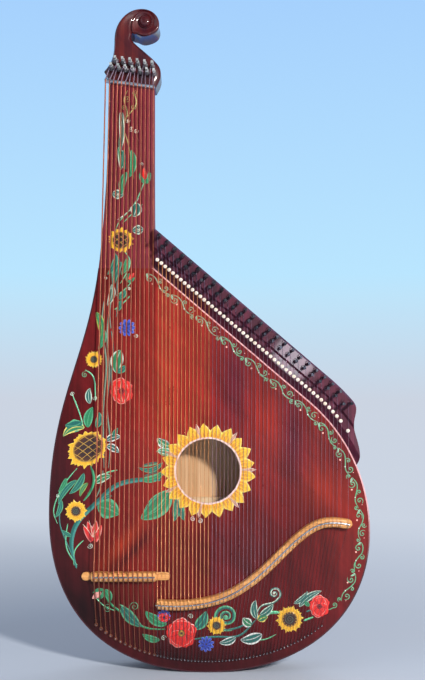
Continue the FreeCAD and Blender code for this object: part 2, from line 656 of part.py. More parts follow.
# Strings, with what leads and holds them
bass_strings, bass_guides, hitch_pins = [], [], []
for index, (pin_x, pin_z) in enumerate(bass_pins):
    radius = share(index, BASS_COUNT, BASS_R_THICK, BASS_R_THIN)
    nut_x = BASS_NUT_X + BASS_NUT_PITCH * index
    x = BASS_X + BASS_PITCH * index
    side = 1.0 if index in RIGHT_EXIT else -1.0
    level = HEAD_SETBACK - COIL_LIFT - COIL_TURNS_H / 2
    over_nut = at(nut_x, nut_z(nut_x), -NUT_H - STRING_GAP - BEND_SWELL * radius)
    over_bridge = at(x, bass_z, bass_level - BEND_SWELL * radius)
    end_x, end_z = hitch_place(index)
    end = loop_top(end_x, end_z)
    wire = string([at(pin_x + side * COIL_R, pin_z, level), over_nut, over_bridge, end],
                  [CORE_R, radius, radius], [coil(pin_x, pin_z, HEAD_SETBACK), loop(end_x, end_z)])
    bass_strings.append(wire)
    below = over_bridge + (end - over_bridge) * (GUIDE_BACK / (over_bridge.z - end.z))
    bass_guides.append(guide_pin(below.x + radius + GUIDE_R + GUIDE_GAP, below.z, -BASS_BLOCK_H))

wound_strings, plain_strings, treble_guides, beads, bead_pins = [], [], [], [], []
for k, (pin_x, pin_z) in enumerate(treble_pins):
    x = treble_x(k)
    if k < TREBLE_WOUND:
        radius = share(k, TREBLE_WOUND, WOUND_R_THICK, WOUND_R_THIN)
    else:
        radius = share(k - TREBLE_WOUND, TREBLE_COUNT + 1 - TREBLE_WOUND,
                       PLAIN_R_THICK, PLAIN_R_THIN)
    bead_x = x + BEAD_PIN_R + radius + BEAD_GAP
    bead_z = edge_z(bead_x, BEAD_LINE)
    bead_level = -LEDGE_H - BEAD_LIFT + BEND_SWELL * radius + 2 * STRING_GAP
    level = -FIELD_H - COIL_LIFT - COIL_TURNS_H / 2
    top = at(pin_x - COIL_R, pin_z, level)
    above_bead = at(x, bead_z + BEAD_R + 2 * radius, bead_level)
    under_bead = at(x, bead_z, bead_level)
    over_bridge = at(x, bridge_z(x), treble_level - BEND_SWELL * radius)
    end_x, end_z = hitch_place(BASS_COUNT + k)
    end = loop_top(end_x, end_z)
    wire = string([top, above_bead, under_bead, over_bridge, end],
                  [CORE_R, radius, radius, radius],
                  [coil(pin_x, pin_z, -FIELD_H), loop(end_x, end_z)])
    (wound_strings if k < TREBLE_WOUND else plain_strings).append(wire)
    below = over_bridge + (end - over_bridge) * (GUIDE_BACK / (over_bridge.z - end.z))
    treble_guides.append(guide_pin(below.x + radius + GUIDE_R + GUIDE_GAP, below.z, -TREBLE_BRIDGE_H))
    bead_y = -LEDGE_H - BEAD_LIFT
    cap = Part.makeCylinder(BEAD_R, BEAD_T, at(bead_x, bead_z, bead_y), -Y_AXIS)
    crown = [edge for edge in cap.Edges if edge.BoundBox.YMax < bead_y - BEAD_T / 2]
    cap = cap.makeFillet(BEAD_ROUND, crown)
    stem = Part.makeCylinder(BEAD_PIN_R, BEAD_PIN_DEPTH + BEAD_LIFT + BEAD_PIN_GRIP,
                             at(bead_x, bead_z, bead_y - BEAD_PIN_GRIP), Y_AXIS)
    beads.append(cap.cut(stem))
    bead_pins.append(stem)

for index in range(BASS_COUNT + TREBLE_COUNT + 1):
    x, z = hitch_place(index)
    hitch_pins.append(Part.makeCylinder(HITCH_R, HITCH_OUT + HITCH_DEPTH, at(x, z, -HITCH_OUT),
                                        Y_AXIS))

soundboard = soundboard.cut(hitch_pins)
tail_block = tail_block.cut(hitch_pins)
pin_block = pin_block.cut(bead_pins)
bass_bridge = bass_bridge.cut(bass_guides)
treble_bridge = treble_bridge.cut(treble_guides)

save("soundboard", soundboard)
save("soundboard_binding", binding)
save("sound_hole_ring", ring)
save("rim", rim)
save("back", back)
save("neck_block", neck_block)
save("tail_block", tail_block)
save("top_lining", top_lining)
save("back_lining", back_lining)
save("soundboard_braces", board_braces)
save("back_braces", back_braces)
save("neck", neck)
save("head", head)
save("pin_block", pin_block)
save("nut", nut)
save("bass_bridge", bass_bridge)
save("bass_saddle", bass_saddle)
save("bass_guide_pins", bass_guides)
save("treble_bridge", treble_bridge)
save("treble_saddle", treble_saddle)
save("treble_guide_pins", treble_guides)
save("beads", beads)
save("bead_pins", bead_pins)
save("hitch_pins", hitch_pins)
save("bass_strings", bass_strings)
save("treble_wound_strings", wound_strings)
save("treble_plain_strings", plain_strings)
for index, (x, z) in enumerate(bass_pins):
    save("bass_pin_%02d" % (index + 1), tuning_pin(x, z, HEAD_SETBACK))
rest = []
for k, (x, z) in enumerate(treble_pins):
    if k < TURNING_TREBLE:
        save("treble_pin_%02d" % (k + 1), tuning_pin(x, z, -FIELD_H))
    else:
        rest.append(tuning_pin(x, z, -FIELD_H))
save("treble_pins_rest", rest)
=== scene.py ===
"""The bandura's looks: red lacquer, carved scroll, wound strings and painted flowers over the frame."""
import math

import bmesh
import bpy
import numpy as np
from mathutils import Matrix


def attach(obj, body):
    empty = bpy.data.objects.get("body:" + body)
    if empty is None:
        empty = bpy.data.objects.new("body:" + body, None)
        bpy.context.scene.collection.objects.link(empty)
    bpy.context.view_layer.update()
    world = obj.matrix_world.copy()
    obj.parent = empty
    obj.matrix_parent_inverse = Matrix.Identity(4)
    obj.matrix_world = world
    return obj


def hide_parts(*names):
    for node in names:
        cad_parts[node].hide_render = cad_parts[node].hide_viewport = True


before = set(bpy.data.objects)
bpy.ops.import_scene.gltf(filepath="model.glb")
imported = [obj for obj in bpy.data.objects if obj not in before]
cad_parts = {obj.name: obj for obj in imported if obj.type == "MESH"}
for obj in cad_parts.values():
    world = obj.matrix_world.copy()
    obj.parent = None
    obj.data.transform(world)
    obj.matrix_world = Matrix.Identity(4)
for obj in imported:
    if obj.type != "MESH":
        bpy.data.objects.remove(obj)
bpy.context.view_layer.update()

MM = 0.001

# Body and edge, as in the part's source
BODY_RIGHT = 251.5
BELLY_RIGHT_Z = 218.0
LOBE_RIGHT = 0.60
BODY_LEFT = 247.0
BELLY_LEFT_Z = 243.0
LOBE_LEFT = 0.63
FLANK_RADIUS = 265.0
ARC_X = BODY_RIGHT - FLANK_RADIUS
EDGE = math.radians(40.5)
HOLE_Z = 312.4
HOLE_R = 49.7
RING_W = 3.1

# Neck, nut and head
NECK_JOINT_Z = 627.0
NECK_FOOT_LEFT = 170.4
NECK_TOP_LEFT = 152.1
NECK_RIGHT = 82.6
NECK_TOP_Z = 925.0
NECK_WIDE_SIDE = 52.0
NECK_THIN_SIDE = 12.0
NECK_WIDE_DEPTH = 80.0
NECK_THIN_DEPTH = 42.0
NECK_SHARES = [(0, 0, 1, 1), (0.06, 0.122, 0.85, 0.842), (0.144, 0.266, 0.5, 0.526),
               (0.262, 0.447, 0.2, 0.237), (0.446, 0.66, 0.025, 0.079), (0.715, 0.851, 0, 0.026),
               (1, 1, 0, 0)]
NUT_LEFT_Z = 918.3
NUT_RIGHT_Z = 908.9
NUT_SLOPE = (NUT_RIGHT_Z - NUT_LEFT_Z) / (NECK_TOP_LEFT - NECK_RIGHT)
NUT_OVERHANG = 8.0
HEAD_FRONT = 4.0
HEAD_BACK = 50.0
HEAD_LEFT = [(0, 0), (-4.4, 7.2), (-10.2, 15.8)]
HEAD_CURL = [(-10.2, 15.8), (-0.5, 29.2), (4.5, 43.7), (5.9, 60.7), (7.5, 78.7), (14.1, 94.2),
             (27.6, 107.2), (48.1, 112.7), (66.1, 107.7), (75.7, 93.5), (73.6, 80.2),
             (62.1, 72.7), (48.1, 71.2), (39.6, 74.7), (34.1, 75.2)]
HEAD_RIGHT = [(34.1, 75.2), (31.5, 69.7), (35.6, 62.2), (42.8, 55.4), (57, 43.5), (69.7, 31.7),
              (77.1, 20.7), (78.1, 8.7), (70.5, -9.5)]
EYE = (54.0, 93.9)

# Strings and what carries them
BASS_STRINGS = 13
TREBLE_STRINGS = 49
WOUND_TREBLES = 14
STRING_PITCH = 6.0
PIN_FACE_HEAD = 4.0
PIN_FACE_BLOCK = -14.0
COIL_R = 3.0
COIL_TOP = 2.8
COIL_TURNS = 3
SADDLE_Y = -16.62
BASS_BRIDGE_Z = 149.3
BEAD_OUT = 13.2
BEAD_R = 3.0
BEAD_FACE = -13.2
BEAD_TOP = -16.4
BACK_INSIDE_Y = 0.0791
TREBLE_LINE = [(-81.3, 107), (-50, 105), (-12, 108), (25, 118), (60, 137.5), (113.3, 185),
               (150, 218), (178, 232), (203, 232.8), (223, 229.5)]


# Curves and surfaces

def even(line, count):
    """count points spaced evenly along a dense line."""
    line = np.asarray(line, float)
    steps = np.linalg.norm(np.diff(line, axis=0), axis=1)
    length = np.r_[0, np.cumsum(steps)]
    at = np.linspace(0, length[-1], count)
    return np.column_stack([np.interp(at, length, line[:, k]) for k in range(line.shape[1])])


def spline(points, count):
    """Natural cubic curve through points: on each stretch a*p + b*q + (a3-a)*m + (b3-b)*n."""
    p = np.asarray(points, float)
    n = len(p)
    t = np.r_[0, np.cumsum(np.linalg.norm(np.diff(p, axis=0), axis=1))]
    h = np.diff(t)
    system = np.eye(n)
    right = np.zeros_like(p)
    for i in range(1, n - 1):
        system[i, i - 1:i + 2] = h[i - 1], 2 * (h[i - 1] + h[i]), h[i]
        right[i] = 6 * ((p[i + 1] - p[i]) / h[i] - (p[i] - p[i - 1]) / h[i - 1])
    bend = np.linalg.solve(system, right)
    at = np.linspace(0, t[-1], 24 * n)
    i = np.clip(np.searchsorted(t, at, "right") - 1, 0, n - 2)
    a = ((t[i + 1] - at) / h[i])[:, None]
    b = 1 - a
    curve = a * p[i] + b * p[i + 1]
    curve += ((a ** 3 - a) * bend[i] + (b ** 3 - b) * bend[i + 1]) * (h[i] ** 2)[:, None] / 6
    return even(curve, count)


def bezier(a, b, c, d, count):
    """Cubic Bezier curve with end points a, d and handles b, c."""
    t = np.linspace(0, 1, count)[:, None]
    a, b, c, d = (np.asarray(q, float) for q in (a, b, c, d))
    return a * (1 - t) ** 3 + 3 * b * t * (1 - t) ** 2 + 3 * c * t * t * (1 - t) + d * t ** 3


def unit(vectors):
    """Vectors scaled to length one."""
    return vectors / np.maximum(np.linalg.norm(vectors, axis=-1, keepdims=True), 1e-9)


def directions(line):
    """The direction of travel at each point: the mean of the unit steps before and after it."""
    steps = unit(np.diff(line, axis=0))
    return unit(np.vstack([steps[:1], steps[:-1] + steps[1:], steps[-1:]]))


def ring_faces(rows, columns, first=0):
    """Quads between rows of closed rings."""
    i, j = np.meshgrid(np.arange(rows - 1), np.arange(columns), indexing="ij")
    k = (j + 1) % columns
    quads = np.stack([i * columns + j, i * columns + k, (i + 1) * columns + k, (i + 1) * columns + j], -1)
    return (quads.reshape(-1, 4) + first).tolist()


class Shell:
    """Points in mm and faces, gathered part by part for one mesh, with a colour for each point."""

    def __init__(self):
        self.points = []
        self.colours = []
        self.faces = []
        self.count = 0

    def add(self, points, faces, colours=None):
        """Adds points with faces numbered from this part's first point."""
        points = np.asarray(points, float).reshape(-1, 3)
        self.faces += [[self.count + i for i in face] for face in faces]
        self.points.append(points)
        if colours is not None:
            self.colours.append(np.asarray(colours, float).reshape(-1, 3))
        self.count += len(points)

    def rings(self, rings, colours=None):
        """Adds a closed surface through rings of points (rows, columns, 3), with both ends capped."""
        rows, columns = rings.shape[:2]
        faces = ring_faces(rows, columns)
        faces.append(list(range(columns))[::-1])
        faces.append(list(range((rows - 1) * columns, rows * columns)))
        self.add(rings, faces, colours)

    def tube(self, path, radius, sides=8, tones=None):
        """Adds a round tube: each ring stands square to the path, turned as little as possible."""
        path = np.asarray(path, float)
        tangent = directions(path)
        guess = np.array([0.0, 1.0, 0.0]) if abs(tangent[0][1]) < 0.8 else np.array([1.0, 0.0, 0.0])
        normals = []
        for t in tangent:
            guess = unit(guess - t * np.dot(guess, t))
            normals.append(guess)
        normals = np.array(normals)
        sideways = np.cross(tangent, normals)
        angle = np.arange(sides) * 2 * math.pi / sides
        around = np.cos(angle)[None, :, None] * normals[:, None]
        around = around + np.sin(angle)[None, :, None] * sideways[:, None]
        colours = None if tones is None else np.repeat(np.asarray(tones)[:, None], sides, axis=1)
        self.rings(path[:, None] + np.reshape(radius, (-1, 1, 1)) * around, colours)

    def turned(self, x, z, profile, sides):
        """Adds a turned piece about an axis along Y: profile is a list of (radius, y)."""
        angle = np.arange(sides) * 2 * math.pi / sides
        rings = []
        for radius, y in profile:
            ring = np.column_stack([x + radius * np.cos(angle), np.full(sides, y),
                                    z + radius * np.sin(angle)])
            rings.append(ring)
        self.rings(np.array(rings))


def make(name, shell, material, replaced=(), sharp=35, body="root"):
    """Turns a shell into an object of the scene that rides on its body."""
    mesh = bpy.data.meshes.new(name)
    mesh.from_pydata((np.vstack(shell.points) * MM).tolist(), [], shell.faces)
    if shell.colours:
        layer = mesh.color_attributes.new("paint", "FLOAT_COLOR", "POINT")
        colours = np.vstack(shell.colours)
        layer.data.foreach_set("color", np.c_[colours, np.ones(len(colours))].astype(np.float32).ravel())
    work = bmesh.new()
    work.from_mesh(mesh)
    bmesh.ops.remove_doubles(work, verts=work.verts, dist=2e-6)
    bmesh.ops.recalc_face_normals(work, faces=work.faces)
    work.to_mesh(mesh)
    work.free()
    mesh.shade_smooth()
    mesh.set_sharp_from_angle(angle=math.radians(sharp))
    mesh.materials.append(material)
    obj = bpy.data.objects.new(name, mesh)
    bpy.context.scene.collection.objects.link(obj)
    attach(obj, body)
    if replaced:
        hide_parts(*replaced)
    return obj


# Places, as in the part's source

def nut_z(x):
    """Height of the nut's upper edge at x."""
    return NUT_LEFT_Z + NUT_SLOPE * (x + NECK_TOP_LEFT)


def edge_z(x, out):
    """Height at x of the treble edge, moved outwards by out: a slanting line, then an arc."""
    knee_x = ARC_X + (FLANK_RADIUS + out) * math.sin(EDGE)
    knee_z = BELLY_RIGHT_Z + (FLANK_RADIUS + out) * math.cos(EDGE)
    if x <= knee_x:
        return knee_z + (knee_x - x) * math.tan(EDGE)
    return BELLY_RIGHT_Z + math.sqrt((FLANK_RADIUS + out) ** 2 - (x - ARC_X) ** 2)


def rim_z(x):
    """Height of the lower rim at x, from its two Bezier lobes."""
    if x < 0:
        lobe = bezier((-BODY_LEFT, BELLY_LEFT_Z), (-BODY_LEFT, BELLY_LEFT_Z * (1 - LOBE_LEFT)),
                      (-BODY_LEFT * LOBE_LEFT, 0), (0, 0), 200)
    else:
        lobe = bezier((0, 0), (BODY_RIGHT * LOBE_RIGHT, 0), (BODY_RIGHT, BELLY_RIGHT_Z * (1 - LOBE_RIGHT)),
                      (BODY_RIGHT, BELLY_RIGHT_Z), 200)
    return np.interp(x, lobe[:, 0], lobe[:, 1])


def treble_x(k):
    """Place of a treble string: the last one stands apart."""
    return 215.1 if k == TREBLE_STRINGS - 1 else -78.0 + STRING_PITCH * k


def share(index, count, first, last):
    """A value that runs evenly from first to last over count things."""
    return first + (last - first) * index / (count - 1)


def hitch_place(index):
    """Hitch pin of a string: the bass strings come first."""
    if index < BASS_STRINGS:
        x = -173.5 + 7.52 * index
    else:
        x = -78.5 + 5.31 * (index - BASS_STRINGS)
    return x, rim_z(x) + 17.7


def head_pin(index):
    """Tuning pin of a bass string: odd ones stand in the upper row."""
    place = index // 2
    if index % 2:
        x = -142.8 + 11.34 * place
        return x, nut_z(x) + 31.0
    x = -149.3 + 10.97 * place
    return x, nut_z(x) + 19.5


def block_pin(k):
    """Tuning pin of a treble string: even ones stand in the outer row."""
    row = (k + 1) % 2
    x = treble_x(k) + (2.0, 3.0)[row]
    return x, edge_z(treble_x(k), (31.0, 40.4)[row])


BRIDGE_LINE = spline(TREBLE_LINE, 400)


def bridge_z(x):
    """Height of the treble bridge's centre line at x."""
    return np.interp(x, BRIDGE_LINE[:, 0], BRIDGE_LINE[:, 1])


# Shader building

class Graph:
    """A node tree filled by short calls, where an input takes a value or another node's output."""

    def __init__(self, tree):
        self.tree = tree

    def add(self, kind, inputs=None, **settings):
        """A new node with its settings, its inputs set or linked."""
        node = self.tree.nodes.new(kind)
        for key, value in settings.items():
            setattr(node, key, value)
        for key, value in (inputs or {}).items():
            if isinstance(value, bpy.types.NodeSocket):
                self.tree.links.new(value, node.inputs[key])
            else:
                node.inputs[key].default_value = value
        return node

    def math(self, operation, a, b=0.0, clamp=False):
        """The result of a math node."""
        node = self.add("ShaderNodeMath", {0: a, 1: b}, operation=operation, use_clamp=clamp)
        return node.outputs[0]

    def vector(self, operation, a, b=(0, 0, 0)):
        """The result of a vector math node."""
        node = self.add("ShaderNodeVectorMath", {0: a, 1: b}, operation=operation)
        return node.outputs["Value" if operation in ("LENGTH", "DISTANCE", "DOT_PRODUCT") else "Vector"]

    def mix(self, factor, a, b, blend="MIX"):
        """Colours a and b mixed by factor."""
        node = self.add("ShaderNodeMix", {0: factor, 6: a, 7: b}, data_type="RGBA", blend_type=blend)
        return node.outputs[2]

    def span(self, value, low, high, to_low=0.0, to_high=1.0):
        """value mapped from one span to another and clamped."""
        node = self.add("ShaderNodeMapRange", {0: value, 1: low, 2: high, 3: to_low, 4: to_high})
        return node.outputs[0]

    def noise(self, vector, scale, detail=4.0, rough=0.55):
        """Noise between 0 and 1."""
        node = self.add("ShaderNodeTexNoise", {"Vector": vector, "Scale": scale, "Detail": detail,
                                               "Roughness": rough})
        return node.outputs["Factor" if "Factor" in node.outputs else "Fac"]

    def object_place(self):
        """The point's place in the object's own frame, in metres."""
        return self.add("ShaderNodeTexCoord").outputs["Object"]

    def effect(self, group, inputs):
        """A shared effect's node."""
        node = self.add("ShaderNodeGroup", node_tree=group)
        for key, value in inputs.items():
            if isinstance(value, bpy.types.NodeSocket):
                self.tree.links.new(value, node.inputs[key])
            else:
                node.inputs[key].default_value = value
        return node


def colour4(rgb):
    """An RGB triple as a socket's colour."""
    return (rgb[0], rgb[1], rgb[2], 1.0)


def new_effect(name, inputs, outputs):
    """An empty shared effect with its sockets, and the nodes that carry them."""
    group = bpy.data.node_groups.new(name, "ShaderNodeTree")
    for label, kind, value in inputs:
        socket = group.interface.new_socket(label, in_out="INPUT", socket_type=kind)
        if value is not None:
            socket.default_value = value
    for label, kind in outputs:
        group.interface.new_socket(label, in_out="OUTPUT", socket_type=kind)
    graph = Graph(group)
    source = graph.add("NodeGroupInput")
    result = graph.add("NodeGroupOutput")
    return group, graph, source.outputs, result.inputs


def wood_figure():
    """Grain lines along Z, broad bands and a slanting shimmer."""
    group, g, given, result = new_effect(
        "Wood figure",
        [("Vector", "NodeSocketVector", None), ("Pitch", "NodeSocketFloat", 1.0)],
        [("Grain", "NodeSocketFloat"), ("Bands", "NodeSocketFloat"), ("Shimmer", "NodeSocketFloat")])
    scaled = g.vector("MULTIPLY", given["Vector"], (620.0, 620.0, 9.0))
    grain = g.noise(g.vector("MULTIPLY", scaled, given["Pitch"]), 1.0, 3.0, 0.6)
    wide = g.vector("MULTIPLY", given["Vector"], (110.0, 110.0, 3.0))
    bands = g.noise(g.vector("MULTIPLY", wide, given["Pitch"]), 1.0, 2.0, 0.5)
    turned = g.add("ShaderNodeMapping", {"Vector": given["Vector"], "Rotation": (0.0, 0.7, 0.0)})
    slant = g.vector("MULTIPLY", turned.outputs[0], (26.0, 26.0, 7.0))
    shimmer = g.noise(slant, 1.0, 5.0, 0.62)
    g.tree.links.new(grain, result["Grain"])
    g.tree.links.new(bands, result["Bands"])
    g.tree.links.new(shimmer, result["Shimmer"])
    return group


def fine_scratches():
    """Thin handling marks: the crests of stretched noise in two directions."""
    group, g, given, result = new_effect(
        "Fine scratches", [("Vector", "NodeSocketVector", None), ("Scale", "NodeSocketFloat", 1.0)],
        [("Mask", "NodeSocketFloat")])
    total = None
    for turn in (0.6, -0.9):
        mapping = g.add("ShaderNodeMapping", {"Vector": given["Vector"],
                                              "Rotation": (turn, turn * 0.7, turn)})
        stretched = g.vector("MULTIPLY", mapping.outputs[0], (30.0, 900.0, 900.0))
        wave = g.noise(stretched, 1.0, 2.0, 0.5)
        line = g.span(g.math("ABSOLUTE", g.math("SUBTRACT", wave, 0.5)), 0.0, 0.012, 1.0, 0.0)
        total = line if total is None else g.math("MAXIMUM", total, line)
    patch = g.noise(given["Vector"], 14.0, 2.0)
    g.tree.links.new(g.math("MULTIPLY", total, g.span(patch, 0.5, 0.7)), result["Mask"])
    return group


def soft_patch():
    """A soft oval in the XZ plane: exp(-(u/a)^2 - (w/b)^2), turned by an angle."""
    group, g, given, result = new_effect(
        "Soft patch",
        [("Vector", "NodeSocketVector", None), ("Centre", "NodeSocketVector", (0, 0, 0)),
         ("Reach", "NodeSocketVector", (1, 1, 1)), ("Turn", "NodeSocketFloat", 0.0)],
        [("Mask", "NodeSocketFloat")])
    away = g.vector("SUBTRACT", given["Vector"], given["Centre"])
    turned = g.add("ShaderNodeVectorRotate", {"Vector": away, "Angle": given["Turn"]}, rotation_type="Y_AXIS")
    scaled = g.vector("DIVIDE", turned.outputs[0], given["Reach"])
    parts = g.add("ShaderNodeSeparateXYZ", {0: scaled})
    square = g.math("ADD", g.math("POWER", g.math("ABSOLUTE", parts.outputs[0]), 2.0),
                    g.math("POWER", g.math("ABSOLUTE", parts.outputs[2]), 2.0))
    g.tree.links.new(g.math("EXPONENT", g.math("MULTIPLY", square, -1.0)), result["Mask"])
    return group


def new_material(name):
    """A material with a Principled shader, its graph and its place in the object."""
    material = bpy.data.materials.new(name)
    material.use_nodes = True
    tree = material.node_tree
    tree.nodes.clear()
    g = Graph(tree)
    shader = g.add("ShaderNodeBsdfPrincipled")
    g.add("ShaderNodeOutputMaterial", {"Surface": shader.outputs[0]})
    return material, g, shader.inputs, g.object_place()


def put(g, socket, value):
    """Sets or links one input."""
    if isinstance(value, bpy.types.NodeSocket):
        g.tree.links.new(value, socket)
    else:
        socket.default_value = value


def finish_surface(g, inputs, place, height, strength, distance, rough, rough_spread, scratch=0.0):
    """Roughness with smudges and marks, and a bump from height."""
    smudge = g.noise(place, 38.0, 4.0, 0.6)
    marks = g.effect(SCRATCHES, {"Vector": place}).outputs[0]
    value = g.span(smudge, 0.3, 0.7, rough - rough_spread, rough + rough_spread)
    value = g.math("ADD", value, g.math("MULTIPLY", marks, scratch), clamp=True)
    put(g, inputs["Roughness"], value)
    total = g.math("SUBTRACT", height, g.math("MULTIPLY", marks, scratch * 0.5))
    bump = g.add("ShaderNodeBump", {"Strength": strength, "Distance": distance, "Height": total})
    put(g, inputs["Normal"], bump.outputs[0])


def lacquered_wood(name, dark, light, coat=0.5, rough=0.42, pitch=1.0, inside=None):
    """Stained wood under gloss lacquer: grain and shimmer move the colour from dark to light.
    Where inside is given, the wood at smaller y than that, in m, is bare."""
    material, g, inputs, place = new_material(name)
    figure = g.effect(WOOD, {"Vector": place, "Pitch": pitch})
    tone = g.math("ADD", g.math("MULTIPLY", figure.outputs["Bands"], 0.45),
                  g.math("MULTIPLY", figure.outputs["Shimmer"], 0.55))
    colour = g.mix(g.span(tone, 0.36, 0.64), colour4(dark), colour4(light))
    grain = g.span(figure.outputs["Grain"], 0.35, 0.65, 0.72, 1.12)
    colour = g.mix(1.0, colour, g.add("ShaderNodeCombineColor", {0: grain, 1: grain, 2: grain}).outputs[0],
                   "MULTIPLY")
    finish_surface(g, inputs, place, figure.outputs["Grain"], 0.12, 0.0002, rough, 0.05, 0.12)
    inputs["Coat Weight"].default_value = coat
    inputs["Coat Roughness"].default_value = 0.05
    inputs["Specular IOR Level"].default_value = 0.2
    if inside is not None:
        depth = g.add("ShaderNodeSeparateXYZ", {0: place}).outputs[1]
        outer = g.math("GREATER_THAN", depth, inside)
        bare = g.mix(g.span(figure.outputs["Bands"], 0.35, 0.65), colour4((0.62, 0.36, 0.18)),
                     colour4((0.80, 0.52, 0.30)))
        colour = g.mix(outer, bare, colour)
        put(g, inputs["Coat Weight"], g.math("MULTIPLY", outer, coat))
    put(g, inputs["Base Color"], colour)
    return material


def board_lacquer():
    """The soundboard: burgundy at the rim, deep red, and a painted orange glow of light on the lacquer."""
    material, g, inputs, place = new_material("board_lacquer")
    figure = g.effect(WOOD, {"Vector": place, "Pitch": 1.0})
    colour = colour4(BOARD_BASE)
    # Soft patches move the colour: darker ones along the rim, the bottom, the lower left and in narrow
    # strips; lighter orange ones that are painted highlight, a glow of light on the lacquer; and on the lower
    # left a thin painted highlight beside a thin painted shadow.
    for (x, z), (a, b), turn, tone, amount in BOARD_TONES_AND_PAINTED_GLOW:
        patch = g.effect(PATCH, {"Vector": place, "Centre": (x * MM, 0, z * MM), "Reach": (a * MM, 1, b * MM),
                                 "Turn": math.radians(turn)})
        colour = g.mix(g.math("MULTIPLY", patch.outputs[0], amount), colour, colour4(tone))
    shimmer = g.span(figure.outputs["Shimmer"], 0.3, 0.7, 0.68, 1.35)
    bands = g.span(figure.outputs["Bands"], 0.3, 0.7, 0.75, 1.2)
    grain = g.span(figure.outputs["Grain"], 0.3, 0.7, 0.82, 1.14)
    shade = g.math("MULTIPLY", g.math("MULTIPLY", shimmer, bands), grain)
    colour = g.mix(1.0, colour, g.add("ShaderNodeCombineColor", {0: shade, 1: shade, 2: shade}).outputs[0],
                   "MULTIPLY")
    put(g, inputs["Base Color"], colour)
    finish_surface(g, inputs, place, figure.outputs["Grain"], 0.1, 0.0002, 0.45, 0.05, 0.1)
    inputs["Coat Weight"].default_value = 0.3
    inputs["Coat Roughness"].default_value = 0.05
    inputs["Specular IOR Level"].default_value = 0.12
    return material


def honey_wood():
    """Maple under clear lacquer, with brown streaks and darker pores."""
    material, g, inputs, place = new_material("honey_maple")
    turned = g.add("ShaderNodeMapping", {"Vector": place, "Rotation": (0.0, math.radians(90), 0.0)})
    figure = g.effect(WOOD, {"Vector": turned.outputs[0], "Pitch": 1.4})
    tone = g.math("ADD", g.math("MULTIPLY", figure.outputs["Bands"], 0.5),
                  g.math("MULTIPLY", figure.outputs["Grain"], 0.5))
    colour = g.mix(g.span(tone, 0.38, 0.62), colour4((0.52, 0.20, 0.05)), colour4((0.88, 0.44, 0.14)))
    pores = g.span(g.noise(g.vector("MULTIPLY", place, (300.0, 300.0, 1400.0)), 1.0, 2.0), 0.62, 0.72)
    colour = g.mix(g.math("MULTIPLY", pores, 0.5), colour, colour4((0.2, 0.06, 0.02)))
    put(g, inputs["Base Color"], colour)
    finish_surface(g, inputs, place, figure.outputs["Grain"], 0.25, 0.0002, 0.36, 0.08, 0.1)
    inputs["Coat Weight"].default_value = 0.3
    return material


def raw_wood():
    """Planed spruce inside the box."""
    material, g, inputs, place = new_material("bare_spruce")
    figure = g.effect(WOOD, {"Vector": place, "Pitch": 0.9})
    colour = g.mix(g.span(figure.outputs["Bands"], 0.35, 0.65), colour4((0.72, 0.48, 0.27)),
                   colour4((0.86, 0.66, 0.42)))
    grain = g.span(figure.outputs["Grain"], 0.5, 0.62)
    colour = g.mix(g.math("MULTIPLY", grain, 0.35), colour, colour4((0.5, 0.26, 0.12)))
    put(g, inputs["Base Color"], colour)
    finish_surface(g, inputs, place, figure.outputs["Grain"], 0.4, 0.0003, 0.62, 0.08)
    return material


def metal(name, dark, light, rough, spread=0.08, winding=0.0, scale=60.0, toned=False, metallic=1.0):
    """Metal with tarnish clouds and fine marks. winding is the pitch in m of wrapped wire along Z,
    whose grooves between the wraps are darkened as painted shade, and toned takes the metal's colour from the
    piece's own."""
    material, g, inputs, place = new_material(name)
    cloud = g.noise(place, scale, 5.0, 0.6)
    colour = g.mix(g.span(cloud, 0.35, 0.65), colour4(dark), colour4(light))
    height = g.noise(place, 900.0, 2.0)
    if winding:
        parts = g.add("ShaderNodeSeparateXYZ", {0: place})
        turns = g.math("MULTIPLY", parts.outputs[2], 2 * math.pi / winding)
        height = g.span(g.math("SINE", turns), -1.0, 1.0)
        # Painted shade: the colour darkens in the grooves between the wraps.
        colour = g.mix(g.math("MULTIPLY", g.math("SUBTRACT", 1.0, height), 0.4), colour,
                       colour4([c * 0.4 for c in dark]))
    if toned:
        own = g.add("ShaderNodeAttribute", attribute_name="paint").outputs["Color"]
        colour = g.mix(1.0, colour, own, "MULTIPLY")
    put(g, inputs["Base Color"], colour)
    inputs["Metallic"].default_value = metallic
    finish_surface(g, inputs, place, height, 0.5 if winding else 0.08, 0.0002, rough, spread, 0.15)
    return material


def smooth_inlay(name, dark, light, rough=0.28, scale=90.0):
    """Polished pale stuff with faint clouds, such as inlay, bone and shell."""
    material, g, inputs, place = new_material(name)
    cloud = g.noise(place, scale, 4.0, 0.6)
    put(g, inputs["Base Color"], g.mix(g.span(cloud, 0.3, 0.7), colour4(dark), colour4(light)))
    finish_surface(g, inputs, place, cloud, 0.1, 0.0002, rough, 0.06, 0.1)
    inputs["Coat Weight"].default_value = 0.4
    inputs["Subsurface Weight"].default_value = 0.0
    return material


def binding_strip():
    """The binding: pale and polished along the treble side, stained dark with the rest elsewhere."""
    material, g, inputs, place = new_material("binding_strip")
    parts = g.add("ShaderNodeSeparateXYZ", {0: place}).outputs
    pale = g.math("MULTIPLY", g.span(parts[0], -0.10, -0.09), g.span(parts[2], 0.17, 0.27))
    cloud = g.noise(place, 90.0, 4.0, 0.6)
    light = g.mix(g.span(cloud, 0.3, 0.7), colour4((0.60, 0.24, 0.26)), colour4((0.85, 0.48, 0.48)))
    dark = g.mix(g.span(cloud, 0.3, 0.7), colour4((0.025, 0.002, 0.006)), colour4((0.06, 0.005, 0.012)))
    put(g, inputs["Base Color"], g.mix(pale, dark, light))
    finish_surface(g, inputs, place, cloud, 0.1, 0.0002, 0.3, 0.06, 0.1)
    inputs["Coat Weight"].default_value = 0.3
    return material


